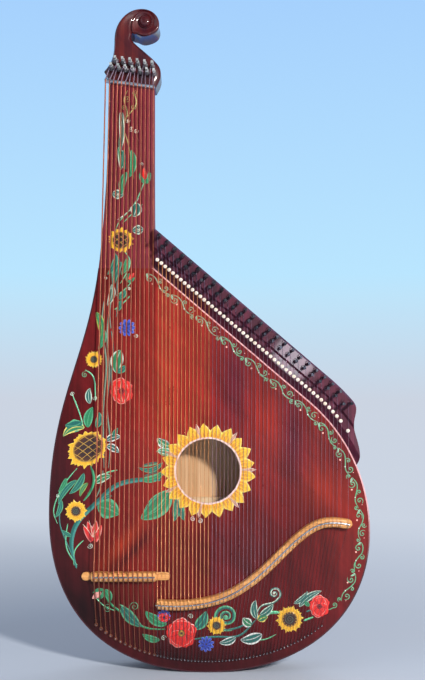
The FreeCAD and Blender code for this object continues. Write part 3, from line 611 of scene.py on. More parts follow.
def enamel():
    """Brushed enamel paint: the stroke's own colour, streaked, with raised brush marks."""
    material, g, inputs, place = new_material("enamel_paint")
    stroke = g.add("ShaderNodeAttribute", attribute_name="paint").outputs["Color"]
    streak = g.noise(place, 420.0, 4.0, 0.65)
    shade = g.span(streak, 0.3, 0.7, 0.72, 1.15)
    colour = g.mix(1.0, stroke, g.add("ShaderNodeCombineColor", {0: shade, 1: shade, 2: shade}).outputs[0],
                   "MULTIPLY")
    put(g, inputs["Base Color"], colour)
    finish_surface(g, inputs, place, streak, 0.3, 0.0002, 0.34, 0.08, 0.08)
    inputs["Coat Weight"].default_value = 0.35
    inputs["Coat Roughness"].default_value = 0.1
    return material


BOARD_BASE = (0.075, 0.003, 0.005)
# Patches of the board's colour as (centre, reach, turn, tone, amount): dark ones darken the rim, the bottom,
# the lower left and narrow strips, light orange ones are painted highlight, and the pair turned 47 degrees is
# a thin painted highlight beside a thin painted shadow.
BOARD_TONES_AND_PAINTED_GLOW = [
    ((0, 400), (230, 330), 0, (0.15, 0.007, 0.008), 0.9),
    ((-40, 470), (90, 260), 0, (0.30, 0.015, 0.011), 0.85),
    ((120, 370), (110, 60), 40, (0.25, 0.014, 0.010), 0.8),
    ((60, 250), (110, 50), -25, (0.17, 0.008, 0.006), 0.5),
    ((215, 225), (60, 80), 0, (0.24, 0.016, 0.010), 0.7),
    ((-140, 175), (60, 80), 0, (0.26, 0.014, 0.008), 0.7),
    ((-200, 90), (80, 110), 0, (0.010, 0.001, 0.002), 0.95),
    ((-240, 290), (50, 150), 0, (0.03, 0.002, 0.004), 0.9),
    ((0, 15), (220, 40), 0, (0.025, 0.002, 0.004), 0.85),
    ((150, 150), (120, 60), 40, (0.10, 0.004, 0.005), 0.6),
    ((30, 195), (80, 55), 0, (0.055, 0.003, 0.005), 0.6),
    ((92, 392), (20, 55), 8, (0.27, 0.018, 0.009), 0.6),
    ((170, 285), (44, 36), -35, (0.30, 0.022, 0.008), 0.7),
    ((132, 365), (20, 80), 0, (0.040, 0.003, 0.014), 0.75),
    ((40, 455), (18, 70), 0, (0.050, 0.003, 0.018), 0.6),
    ((-131, 201), (44, 10), 47, (0.38, 0.035, 0.012), 0.7),
    ((-112, 192), (44, 7), 47, (0.02, 0.001, 0.003), 0.7),
    ((-60, 410), (34, 150), 0, (0.42, 0.028, 0.014), 0.6),
]
WOOD = wood_figure()
SCRATCHES = fine_scratches()
PATCH = soft_patch()

MATERIALS = {
    "board": board_lacquer(),
    "neck": lacquered_wood("neck_lacquer", (0.13, 0.008, 0.018), (0.25, 0.02, 0.038)),
    "head": lacquered_wood("head_lacquer", (0.026, 0.003, 0.011), (0.125, 0.012, 0.010), coat=0.6),
    "block": lacquered_wood("block_lacquer", (0.045, 0.005, 0.018), (0.13, 0.014, 0.040), coat=0.9),
    "sides": lacquered_wood("side_lacquer", (0.03, 0.003, 0.008), (0.10, 0.008, 0.018), coat=0.8),
    "back": lacquered_wood("back_lacquer", (0.05, 0.004, 0.008), (0.16, 0.012, 0.020), coat=0.8,
                           inside=BACK_INSIDE_Y),
    "inlay": smooth_inlay("pale_inlay", (0.78, 0.5, 0.46), (0.92, 0.72, 0.66)),
    "binding": binding_strip(),
    "honey": honey_wood(),
    "spruce": raw_wood(),
    "steel": metal("bright_steel", (0.5, 0.52, 0.56), (0.72, 0.74, 0.78), 0.24),
    "pin_steel": metal("pin_steel", (0.55, 0.60, 0.60), (0.92, 0.97, 0.96), 0.2, metallic=0.6),
    "dark_steel": metal("dark_steel", (0.03, 0.035, 0.05), (0.14, 0.15, 0.18), 0.24),
    "nut": metal("nut_steel", (0.38, 0.44, 0.52), (0.62, 0.68, 0.76), 0.34),
    "bone": smooth_inlay("bone_beads", (0.8, 0.66, 0.52), (0.95, 0.88, 0.8), 0.3, 160.0),
    "brass": metal("brass_slots", (0.50, 0.26, 0.08), (0.75, 0.45, 0.16), 0.36),
    "bass": metal("bronze_winding", (0.7, 0.7, 0.7), (1.0, 1.0, 1.0), 0.36, winding=0.0006, toned=True,
                  metallic=0.75),
    "treble": metal("treble_wire", (0.75, 0.75, 0.75), (1.0, 1.0, 1.0), 0.34, winding=0.0004, toned=True,
                    metallic=0.75),
    "paint": enamel(),
}


def dress(names, material):
    """Gives CAD nodes a material."""
    for name in names:
        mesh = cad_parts[name].data
        mesh.materials.clear()
        mesh.materials.append(MATERIALS[material])


def dress_nodes():
    """Materials of the CAD nodes that are shown as they are."""
    dress(["soundboard"], "board")
    dress(["soundboard_binding"], "binding")
    dress(["sound_hole_ring"], "inlay")
    dress(["rim"], "sides")
    dress(["back"], "back")
    dress(["neck"], "neck")
    dress(["head"], "head")
    dress(["pin_block"], "block")
    dress(["neck_block", "tail_block", "top_lining", "back_lining", "soundboard_braces", "back_braces"],
          "spruce")
    dress(["bass_saddle", "treble_saddle", "bass_guide_pins", "treble_guide_pins", "bead_pins"], "steel")
    dress([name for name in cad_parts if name.startswith("bass_pin_")], "pin_steel")
    dress([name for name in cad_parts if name.startswith("treble_pin")], "dark_steel")


# Neck, head and nut

def neck_section(z):
    """Left edge, depth at the edges and depth in the middle of the neck at height z."""
    rise = (z - NECK_JOINT_Z) / (NECK_TOP_Z - NECK_JOINT_Z)
    table = np.array(NECK_SHARES, float)
    taper, side, depth = (np.interp(rise, table[:, 0], table[:, k]) for k in (1, 2, 3))
    return (-(NECK_FOOT_LEFT + taper * (NECK_TOP_LEFT - NECK_FOOT_LEFT)),
            NECK_THIN_SIDE + side * (NECK_WIDE_SIDE - NECK_THIN_SIDE),
            NECK_THIN_DEPTH + depth * (NECK_WIDE_DEPTH - NECK_THIN_DEPTH))


def neck():
    """The neck: flat in front with rounded edges, straight sides and an arc behind, up to the nut."""
    round_front = 3.0
    turn = np.linspace(0, math.pi / 2, 5)
    rows = []
    for rise in np.linspace(0, 1, 60):
        z = NECK_JOINT_Z + rise * (NUT_LEFT_Z - 3 - NECK_JOINT_Z)
        left, side, depth = neck_section(z)
        right = -NECK_RIGHT
        outline = [(left + round_front * (1 - math.cos(t)), round_front * (1 - math.sin(t))) for t in turn]
        outline += [(left + (right - left) * f, 0.0) for f in (0.2, 0.4, 0.6, 0.8)]
        outline += [(right - round_front * (1 - math.cos(t)), round_front * (1 - math.sin(t)))
                    for t in turn[::-1]]
        across = np.linspace(right, left, 19)
        bow = 1 - ((across - (left + right) / 2) / ((right - left) / 2)) ** 2
        outline += [(x, side + (depth - side) * b) for x, b in zip(across, bow)]
        ring = np.array([(x, y, NECK_JOINT_Z + rise * (nut_z(x) - NECK_JOINT_Z)) for x, y in outline])
        rows.append(ring)
    shell = Shell()
    shell.rings(np.array(rows))
    return make("carved_neck", shell, MATERIALS["neck"], ["neck"])


def scroll_radius():
    """Winding angle and radius of the scroll's outer edge about the eye, from the outline inwards."""
    curve = spline(HEAD_CURL, 360)
    away = curve - np.array(EYE)
    angle = 180 - np.degrees(np.unwrap(np.arctan2(away[:, 1], away[:, 0])))
    angle -= 360 * round((angle[180] - 30) / 360)
    radius = np.linalg.norm(away, axis=1)
    keep = np.r_[True, np.diff(np.maximum.accumulate(angle)) > 1e-6]
    angle, radius = angle[keep], radius[keep]
    inner = [(345, 22.5), (380, 18.2), (450, 14.6), (540, 12.4), (630, 11.2), (720, 9.8), (810, 8.4),
             (900, 7.0), (1260, 7.0)]
    return (np.r_[angle, [a for a, _ in inner]], np.r_[radius, [r for _, r in inner]])


def head():
    """The head: a band swept from the nut up the left edge and round the eye, where each turn's
    inner edge is the next turn's outer edge, so that the carved face is one surface."""
    angles, radii = scroll_radius()
    start, end, step = -40.0, 900.0, 5.0
    columns = 15
    across = np.linspace(0, 1, columns)
    curl = spline(HEAD_CURL, 360)
    curl_angle = 180 - np.degrees(np.unwrap(np.arctan2(curl[:, 1] - EYE[1], curl[:, 0] - EYE[0])))
    curl_angle -= 360 * round((curl_angle[180] - 30) / 360)
    left_part = np.vstack([spline(HEAD_LEFT, 12)[:-1], curl[:int(np.argmax(curl_angle > start))]])
    left_edge = even(left_part, 31)
    right_edge = even(spline(HEAD_RIGHT[::-1], 200), 31)

    def on_curve(angle):
        """Point of the scroll's edge at a winding angle."""
        r = np.interp(angle, angles, radii)
        turn = math.radians(180 - angle)
        return np.array([EYE[0] + r * math.cos(turn), EYE[1] + r * math.sin(turn)])

    pairs = [(a, b, start - 1) for a, b in zip(left_edge[:-1], right_edge[:-1])]
    turns = np.arange(start, end + 1, step)
    pairs += [(on_curve(w), on_curve(w + 360), w) for w in turns]
    face = []
    groove = 3.4
    for outer, inner, w in pairs:
        width = np.linalg.norm(inner - outer)
        carved = np.clip((w - start) / 70, 0, 1)
        later = np.clip((w - start - 330) / 30, 0, 1)
        rise = np.clip(w / end, 0, 1) * 3.0
        edge_round = max(min(4.0, width * 0.22), 1e-6)
        from_outer = across * width
        from_inner = (1 - across) * width
        outer_fall = np.sqrt(np.clip(1 - (1 - np.clip(from_outer / edge_round, 0, 1)) ** 2, 0, 1))
        inner_fall = np.sqrt(np.clip(1 - (1 - np.clip(from_inner / edge_round, 0, 1)) ** 2, 0, 1))
        outer_depth = edge_round * (1 - later) + groove * later
        flat_face = -edge_round * (1 - inner_fall)
        bead = np.clip(across / 0.30, 0, 1)
        flute = -groove * np.sin(np.clip((across - 0.24) / 0.76, 0, 1) * math.pi / 2) ** 1.3
        relief = (1 - carved) * flat_face + carved * flute * (bead > 0)
        next_rise = np.clip((w + 360) / end, 0, 1) * 3.0
        lift = rise * (1 - across) + next_rise * across * carved
        relief = relief + lift - outer_depth * (1 - outer_fall)
        if w >= start:
            later_next = np.clip((w + 360 - start - 330) / 30, 0, 1)
            foot = next_rise - (4.0 * (1 - later_next) + groove * later_next)
            relief[-1] = foot if w < end - 360 else relief[-1]
        flat = outer + (inner - outer) * across[:, None]
        face.append(np.column_stack([flat[:, 0], -relief, flat[:, 1]]))
    face = np.array(face)
    rows = len(face)
    loop_rows = [i for i, pair in enumerate(pairs) if pair[2] <= start + 360]
    body_rows = len(left_edge) - 1
    shift = round(360 / step)
    for i in range(body_rows, rows - shift):
        face[i, -1] = face[i + shift, 0]
    face[body_rows + shift, 0] = face[body_rows, -1]
    origin = np.array([-NECK_TOP_LEFT, HEAD_FRONT, NUT_LEFT_Z])
    front = face + origin
    back = front.copy()
    back[:, :, 1] = HEAD_FRONT + HEAD_BACK - front[:, :, 1]

    shell = Shell()
    quads = []
    for i in range(rows - 1):
        for j in range(columns - 1):
            here = i * columns + j
            quads.append([here, here + 1, here + columns + 1, here + columns])
    size = rows * columns
    shell.add(np.vstack([front.reshape(-1, 3), back.reshape(-1, 3)]),
              quads + [[size + k for k in q] for q in quads])
    loop = [(i, 0) for i in loop_rows]
    loop += [(i, columns - 1) for i in range(body_rows, -1, -1)]
    loop += [(0, j) for j in range(columns - 2, 0, -1)]
    rim_front = np.array([front[i, j] for i, j in loop])
    rim_back = np.array([back[i, j] for i, j in loop])
    heading = directions(np.vstack([rim_front[-1:], rim_front, rim_front[:1]])[:, [0, 2]])[1:-1]
    inward = np.column_stack([heading[:, 1], -heading[:, 0]])
    rings = []
    for part, dip in ((0, 0), (0.04, 0), (0.12, 0.35), (0.3, 1.1), (0.5, 1.4), (0.7, 1.1), (0.88, 0.35),
                      (0.96, 0), (1, 0)):
        ring = rim_front * (1 - part) + rim_back * part
        ring[:len(loop_rows), [0, 2]] += inward[:len(loop_rows)] * dip
        rings.append(ring)
    rings = np.array(rings)
    shell.add(rings, ring_faces(len(rings), len(loop)))
    eye_place = origin + np.array([EYE[0], 0, EYE[1]])
    for sign, level in ((1, 0.0), (-1, HEAD_FRONT + HEAD_BACK)):
        profile = [(8.6, 6.0), (8.2, 2.2), (7.2, 1.5), (6.4, 2.2), (5.6, 1.6), (3.6, 1.15), (1.6, 1.02),
                   (0.3, 1.0)]
        shell.turned(eye_place[0], eye_place[2],
                     [(r, level + sign * y) for r, y in profile], 40)
    return make("carved_head", shell, MATERIALS["head"], ["head"], sharp=50)


def bass_path_x(index):
    """Where a bass string crosses the nut."""
    return -158.2 + 6.14 * index


def nut():
    """The nut: a rounded bar along the nut's line with a notch under each string."""
    left, right = -NECK_TOP_LEFT - NUT_OVERHANG, -NECK_RIGHT
    stations = set(np.linspace(left, right, 40).tolist())
    for i in range(BASS_STRINGS):
        x = bass_path_x(i)
        stations |= {x + d for d in (-1.5, -1.1, -0.6, 0.0, 0.6, 1.1, 1.5) if left < x + d < right}
    profile = [(0, 0.02), (0, -5.4), (-0.4, -6.6), (-1.3, -7.35), (-2.5, -7.5), (-3.7, -7.35),
               (-4.6, -6.6), (-5, -5.4), (-5, 0.02)]
    rows = []
    for x in sorted(stations):
        near = min(abs(x - bass_path_x(i)) for i in range(BASS_STRINGS))
        notch = 1.3 * max(0.0, 1 - (near / 1.5) ** 2)
        rows.append([(x, min(y + notch * (y < -6), 0.02), nut_z(x) + dz) for dz, y in profile])
    shell = Shell()
    shell.rings(np.array(rows))
    return make("notched_nut", shell, MATERIALS["nut"], ["nut"], sharp=40)


# Bridges

def bar_along(line, half, heights, profile):
    """Rings of a bar that follows line on the soundboard: profile is (share of half, share of height)."""
    heading = directions(line)
    sideways = np.column_stack([-heading[:, 1], heading[:, 0]])
    rings = []
    for point, side, width, height in zip(line, sideways, half, heights):
        ring = []
        for across, up in profile:
            flat = point + side * width * across
            ring.append((flat[0], -height * up + 0.02 * (up == 0), flat[1]))
        rings.append(ring)
    return np.array(rings)


BRIDGE_PROFILE = [(-1, 0), (-1, 0.55), (-0.98, 0.8), (-0.84, 0.93), (-0.62, 1.0), (-0.3, 1.0), (0.0, 1.0),
                  (0.3, 1.0), (0.62, 1.0), (0.84, 0.93), (0.98, 0.8), (1, 0.55), (1, 0)]


def cut_profile(rings, stations, places, depth=3.2, half_width=0.45):
    """Saw cuts in a bar's lower edge: rings near a place sink on their lower half."""
    for row, s in enumerate(stations):
        if min(abs(s - p) for p in places) < half_width:
            for column in (1, 2, 3, 4):
                rings[row, column, 1] = min(rings[row, column, 1] + depth, 0.0)
    return rings


def treble_bridge():
    """The long curved bridge, low at both ends, with saw cuts across its lower edge."""
    length = np.sum(np.linalg.norm(np.diff(BRIDGE_LINE, axis=0), axis=1))
    cuts = np.arange(14.0, length - 20, 12.4)
    stations = sorted(set(np.linspace(0, length, 200).tolist())
                      | {c + d for c in cuts for d in (-0.55, -0.4, 0.4, 0.55)})
    s = np.linspace(0, length, len(BRIDGE_LINE))
    line = np.column_stack([np.interp(stations, s, BRIDGE_LINE[:, k]) for k in (0, 1)])
    stations = np.array(stations)
    from_end = np.minimum(stations, length - stations)
    outer_left, outer_right = 3.0, 7.0
    low = np.where(stations < length / 2, (from_end - 1) / outer_left, (from_end - 3) / outer_right)
    heights = 7.0 + 7.4 * np.clip(low, 0, 1) ** 0.7
    half = 7.4 * np.sqrt(np.clip(1 - (1 - np.clip(from_end / 6.5, 0, 1)) ** 2, 0.02, 1))
    rings = bar_along(line, half, heights, BRIDGE_PROFILE)
    rings = cut_profile(rings, stations, cuts)
    shell = Shell()
    shell.rings(rings)
    return make("carved_treble_bridge", shell, MATERIALS["honey"], ["treble_bridge"], sharp=40)


def bass_bridge():
    """The straight bass bridge: a low foot with a round knob end and a raised, notched block."""
    shell = Shell()
    foot_x = np.array([-196.0, -195, -193, -190, -186, -183.5, -182, -181, -150, -120, -90, -78, -77, -70,
                       -64, -61, -59.5, -59.1])
    foot_half = np.array([1.5, 4, 5.8, 6.6, 6.4, 5.0, 4.4, 6, 6.3, 6.3, 6.3, 6.3, 6.0, 6.2, 6.0, 5.0, 3.4,
                          1.2])
    line = np.column_stack([foot_x, np.full(len(foot_x), BASS_BRIDGE_Z)])
    shell.rings(bar_along(line, foot_half, np.full(len(foot_x), 5.0), BRIDGE_PROFILE))
    cuts = np.arange(-174.0, -84.0, 7.55)
    stations = sorted(set(np.linspace(-179.9, -80.1, 90).tolist())
                      | {c + d for c in cuts for d in (-0.55, -0.4, 0.4, 0.55)})
    stations = np.array(stations)
    line = np.column_stack([stations, np.full(len(stations), BASS_BRIDGE_Z)])
    end = np.minimum(stations + 180, -80 - stations)
    scallop = sum(1.3 * np.exp(-((stations - x) / 5.0) ** 2) for x in (-152.0, -127.0))
    half = 7.4 * np.clip(end / 1.5, 0.85, 1)
    rings = bar_along(line, half, np.full(len(stations), 14.4), BRIDGE_PROFILE)
    rings[:, 8:, 2] -= scallop[:, None]
    shell.rings(cut_profile(rings, stations, cuts, 2.0))
    return make("notched_bass_bridge", shell, MATERIALS["honey"], ["bass_bridge"], sharp=40)


# Strings, beads and hitch pins

def coil(centre, face, radius, side, start_angle):
    """Turns of the string round its pin, from where it leaves the pin inwards to the face."""
    turns = COIL_TURNS
    count = 18 * turns
    angle = start_angle + side * np.linspace(0, 2 * math.pi * turns, count)
    level = np.linspace(face - COIL_TOP - 2 * radius, face - COIL_TOP, count)
    reach = COIL_R - 0.3 + radius * 0.6
    return np.column_stack([centre[0] + reach * np.cos(angle), level, centre[1] + reach * np.sin(angle)])


def hitch_loop(x, z, radius):
    """A ring of the string round its hitch pin, from the top and back to it."""
    angle = np.linspace(math.pi / 2, math.pi / 2 + 2 * math.pi, 17)
    reach = 1.15 + radius * 0.8
    return np.column_stack([x + reach * np.cos(angle), np.full(17, -1.7), z + reach * np.sin(angle)])


def string(shell, route, tones, pin, face, radius, side, sides=8):
    """One string: its coil, the straight stretches of its route and the loop at its end. tones has
    the coil's colour and that of each stretch."""
    wound = coil(pin, face, radius, side, 0.0 if side > 0 else math.pi)[::-1]
    path = [wound]
    colours = [np.tile(tones[0], (len(wound), 1))]
    here = np.asarray(wound[-1], float)
    for there, tone in zip(route, tones[1:]):
        there = np.asarray(there, float)
        along = unit(there - here)
        path.append([here + along * 0.4, there])
        colours.append(np.tile(tone, (2, 1)))
        here = there
    loop = hitch_loop(here[0], here[2] - 1.75, radius)[1:]
    path.append(loop)
    colours.append(np.tile(tones[-1], (len(loop), 1)))
    shell.tube(np.vstack(path), radius, sides, np.vstack(colours))


def twist(shell, x, z, radius, over, tone):
    """The string's own end wrapped round it for a few turns above the hitch loop."""
    toward = unit(np.array(over) - np.array([x, -1.7, z + 1.75]))
    t = np.linspace(0, 1, 33)
    base = np.array([x, -1.7, z + 1.75]) + np.outer(1.0 + 6.5 * t, toward)
    angle = t * 2 * math.pi * 4
    reach = radius * 1.6
    base[:, 0] += reach * np.cos(angle)
    base[:, 1] = np.minimum(base[:, 1] + reach * np.sin(angle), -0.15 - radius)
    shell.tube(base, radius * 0.6, 5, np.tile(tone, (len(base), 1)))


# Near black: the treble strings' coils round the pins on the block are darkened as painted shade.
COIL_TONE = (0.035, 0.035, 0.045)
HEAD_COIL_TONE = (0.20, 0.17, 0.19)
LEAD_TONE = (0.38, 0.27, 0.36)
TREBLE_LEAD_TONE = (0.22, 0.14, 0.22)
BRONZE_TONE = (0.66, 0.20, 0.11)
BRASS_TONE = (0.76, 0.33, 0.13)
WIRE_TONE = (0.30, 0.20, 0.26)
AFTER_TONE = (0.13, 0.08, 0.09)
BASS_AFTER_TONE = (0.34, 0.12, 0.07)


def bass_strings():
    """Thirteen wound bass strings from the head over the nut and the bass bridge."""
    shell = Shell()
    for i in range(BASS_STRINGS):
        radius = share(i, BASS_STRINGS, 1.05, 0.65)
        pin = head_pin(i)
        side = 1 if i in (1, 3, 5) else -1
        nut_x = bass_path_x(i)
        over_nut = (nut_x, -7.45 - radius, nut_z(nut_x) - 1.5)
        x = -175.5 + 7.55 * i
        over_bridge = (x, SADDLE_Y - radius, BASS_BRIDGE_Z)
        hitch = hitch_place(i)
        route = [over_nut, over_bridge, (hitch[0], -1.7, hitch[1] + 1.75)]
        tones = [HEAD_COIL_TONE, LEAD_TONE, BRONZE_TONE, BASS_AFTER_TONE]
        string(shell, route, tones, pin, PIN_FACE_HEAD, radius, side)
        twist(shell, hitch[0], hitch[1], radius * 0.7, over_bridge, BASS_AFTER_TONE)
    return make("wound_bass_strings", shell, MATERIALS["bass"], ["bass_strings"], 60)


def treble_strings(name, first, last, radii, tone, node):
    """Treble strings first to last: from the block past their beads and over the treble bridge."""
    shell = Shell()
    for k in range(first, last):
        radius = share(k - first, last - first, *radii)
        pin = block_pin(k)
        bead_x = treble_x(k) + 1 + radius + 0.1
        bead_z = edge_z(bead_x, BEAD_OUT)
        level = BEAD_FACE + 1.1 * radius + 0.24
        x = treble_x(k)
        over_bridge = (x, SADDLE_Y - radius, bridge_z(x))
        hitch = hitch_place(BASS_STRINGS + k)
        route = [(bead_x, level, bead_z + 3 + 2 * radius), (bead_x, level, bead_z), over_bridge,
                 (hitch[0], -1.7, hitch[1] + 1.75)]
        # The coil's near-black tone is painted shade round the pin.
        tones = [COIL_TONE, TREBLE_LEAD_TONE, TREBLE_LEAD_TONE, tone, AFTER_TONE]
        string(shell, route, tones, pin, PIN_FACE_BLOCK, radius, -1, 6)
        twist(shell, hitch[0], hitch[1], radius * 0.8, over_bridge, AFTER_TONE)
    return make(name, shell, MATERIALS["treble"], [node], 60)


def beads():
    """The cream guide beads along the treble edge, each with a slot in its crown."""
    caps = Shell()
    slots = Shell()
    for k in range(TREBLE_STRINGS):
        x = treble_x(k)
        z = edge_z(x + 1, BEAD_OUT)
        crown = [(0.2, BEAD_TOP), (1.2, BEAD_TOP + 0.1), (2.1, BEAD_TOP + 0.5), (2.75, BEAD_TOP + 1.25),
                 (BEAD_R, BEAD_TOP + 2.1), (2.9, BEAD_FACE - 0.35), (2.5, BEAD_FACE), (0.3, BEAD_FACE)]
        caps.turned(x, z, crown, 16)
        turn = math.radians(90 + (k * 47) % 50 - 25)
        along = np.array([math.cos(turn), math.sin(turn)])
        over = np.array([-along[1], along[0]])
        corners = []
        for y in (BEAD_TOP - 0.04, BEAD_TOP + 0.6):
            corners.append([(x + a * along[0] + b * over[0], y, z + a * along[1] + b * over[1])
                            for a, b in ((-1.3, -0.25), (1.3, -0.25), (1.3, 0.25), (-1.3, 0.25))])
        slots.rings(np.array(corners))
    make("bead_caps", caps, MATERIALS["bone"], ["beads"], 50)
    make("bead_slots", slots, MATERIALS["brass"])


def hitch_pins():
    """Domed hitch pins round the lower rim."""
    shell = Shell()
    for index in range(BASS_STRINGS + TREBLE_STRINGS):
        x, z = hitch_place(index)
        profile = [(0.2, -5.0), (0.7, -4.85), (0.98, -4.4), (1.0, -3.8), (0.85, -3.5), (0.85, 0.5),
                   (0.2, 2.0)]
        shell.turned(x, z, profile, 12)
    return make("domed_hitch_pins", shell, MATERIALS["steel"], ["hitch_pins"], 40)


# Painted flowers on the soundboard and the neck

SINK = 0.06
LAYER = 0.05
TEAL = (0.01, 0.13, 0.11)
GREEN = (0.02, 0.22, 0.09)
MINT = (0.10, 0.42, 0.22)
GREY_GREEN = (0.10, 0.17, 0.12)
OLIVE = (0.32, 0.27, 0.08)
LIME = (0.36, 0.42, 0.06)
PALE = (0.62, 0.74, 0.60)
CREAM = (0.85, 0.72, 0.55)
WHITE = (0.85, 0.84, 0.80)
YELLOW = (0.95, 0.56, 0.025)
LEMON = (0.95, 0.72, 0.16)
AMBER = (0.72, 0.22, 0.012)
GOLD = (0.62, 0.36, 0.05)
BROWN = (0.035, 0.012, 0.014)
RED = (0.80, 0.018, 0.012)
CRIMSON = (0.34, 0.004, 0.014)
PINK = (0.85, 0.36, 0.32)
BLUE = (0.04, 0.09, 0.62)
NAVY = (0.010, 0.016, 0.16)


class Painting(Shell):
    """Strokes of paint on the soundboard's face, with their edges sunk just under it."""

    def ribbon(self, line, half, stripes, layer=0, crown=0.14):
        """A stroke along line with half width half; stripes are (place from -1 to 1, share of the
        crown, tone or tones from start to end) from one edge to the other."""
        line = np.asarray(line, float)
        half = np.maximum(np.asarray(half, float), 0.0)
        heading = directions(line)
        sideways = np.column_stack([-heading[:, 1], heading[:, 0]])
        full = np.clip(half / 0.3, 0, 1)
        along = np.linspace(0, 1, len(line))[:, None]
        stripes = [(-1, None, stripes[0][2])] + list(stripes) + [(1, None, stripes[-1][2])]
        columns = []
        tones = []
        for place, up, tone in stripes:
            flat = line + sideways * (half * place)[:, None]
            if up is None:
                y = np.full(len(line), SINK)
            else:
                y = SINK * (1 - full) - (0.02 + layer * LAYER + crown * up) * full
            columns.append(np.column_stack([flat[:, 0], y, flat[:, 1]]))
            first, last = (tone, tone) if np.ndim(tone) == 1 else tone
            tones.append(np.asarray(first) * (1 - along) + np.asarray(last) * along)
        self.rings(np.stack(columns, 1), np.stack(tones, 1))

    def blob(self, centre, radii, levels, layer=0, crown=0.2):
        """A rounded patch: radii are its reach at even angles, levels (share of reach, share of the
        crown, tone) from the middle outwards."""
        angle = np.linspace(0, 2 * math.pi, len(radii), endpoint=False)
        spoke = np.column_stack([np.cos(angle), np.sin(angle)]) * np.asarray(radii)[:, None]
        rings = []
        tones = []
        for reach, up, tone in list(levels) + [(1.0, None, levels[-1][2])]:
            flat = np.asarray(centre) + spoke * reach
            y = SINK if up is None else -(0.02 + layer * LAYER + crown * up)
            rings.append(np.column_stack([flat[:, 0], np.full(len(radii), y), flat[:, 1]]))
            tones.append(np.tile(tone, (len(radii), 1)))
        self.rings(np.array(rings), np.array(tones))

    def stem(self, points, width, tone, layer=0, taper=(0.5, 0.35), light=None):
        """A smooth stroke through points, thickest in the middle, with a lighter or darker side."""
        line = spline(points, max(10, 8 * len(points))) if len(points) > 2 else even(points, 8)
        t = np.linspace(0, 1, len(line))
        half = width / 2 * np.minimum(1, np.minimum(taper[0] + 3 * t, taper[1] + 3 * (1 - t)))
        half[0] = half[-1] = 0
        light = light or tone
        self.ribbon(line, half, [(-0.85, 0.4, tone), (-0.1, 0.9, tone), (0.3, 1.0, light),
                                 (0.85, 0.4, light)], layer, 0.1)

    def leaf(self, base, tip, width, body, edge, bend=0.0, layer=1, vein=None):
        """A pointed leaf from base to tip, bowed sideways, with an outline and a vein."""
        base, tip = np.asarray(base, float), np.asarray(tip, float)
        t = np.linspace(0, 1, 15)[:, None]
        across = np.array([-(tip - base)[1], (tip - base)[0]])
        line = base * (1 - t) + tip * t + across * bend * 4 * t * (1 - t)
        half = width / 2 * np.sin(math.pi * t[:, 0] ** 0.85) ** 0.8
        half[0] = half[-1] = 0
        vein = vein or edge
        self.ribbon(line, half, [(-0.95, 0.3, edge), (-0.76, 0.4, edge), (-0.62, 0.5, body),
                                 (-0.12, 0.8, body), (0, 0.9, vein), (0.12, 0.8, body), (0.62, 0.5, body),
                                 (0.76, 0.4, edge), (0.95, 0.3, edge)], layer)

    def curl(self, centre, reach, turns, start, hand, width, tone, lead=(), layer=1, light=None):
        """A tendril: lead points, then a spiral r = reach (1 - 0.88 t^0.9) round centre."""
        t = np.linspace(0, 1, int(16 * turns) + 4)
        angle = math.radians(start) + hand * 2 * math.pi * turns * t
        r = reach * (1 - 0.88 * t ** 0.9)
        spiral = np.column_stack([centre[0] + r * np.cos(angle), centre[1] + r * np.sin(angle)])
        line = spiral
        if lead:
            line = np.vstack([spline(list(lead) + [tuple(spiral[0]), tuple(spiral[2])], 24)[:-4], spiral[1:]])
        s = np.linspace(0, 1, len(line))
        half = width / 2 * np.minimum(1, 0.35 + 2.5 * s) * (1 - 0.45 * s)
        half[0] = half[-1] = 0
        light = light or tone
        self.ribbon(line, half, [(-0.85, 0.4, tone), (-0.1, 0.9, tone), (0.3, 1.0, light),
                                 (0.85, 0.4, light)], layer, 0.1)
        self.dot(spiral[-1], width * 0.55, light, layer + 1)

    def dot(self, centre, reach, tone, layer=1):
        """A round dot."""
        self.blob(centre, np.full(10, reach), [(0.15, 1, tone), (0.7, 0.8, tone), (0.95, 0.3, tone)],
                  layer, 0.1)

    def petal(self, centre, inner, outer, angle, width, tones, layer, squash=(1, 1, 0), blunt=1.1):
        """A petal of a flower from inner to outer radius at an angle, on a circle squashed to an oval."""
        t = np.linspace(0, 1, 12)
        reach = inner + (outer - inner) * t
        turn = math.radians(angle)
        line = np.column_stack([reach * math.cos(turn), reach * math.sin(turn)])
        line = oval(line, squash) + np.asarray(centre)
        half = width / 2 * (np.sin(math.pi * np.clip(0.34 + 0.66 * t, 0, 1)) ** blunt)
        half[-1] = 0
        deep, body, rim = tones
        self.ribbon(line, half, [(-0.95, 0.2, rim), (-0.8, 0.4, (body, rim)), (-0.5, 0.8, (deep, body)),
                                 (-0.2, 0.9, body), (0.05, 0.7, (deep, body)), (0.3, 0.9, body),
                                 (0.55, 0.8, (deep, body)), (0.8, 0.4, (body, rim)), (0.95, 0.2, rim)],
                    layer, 0.3)

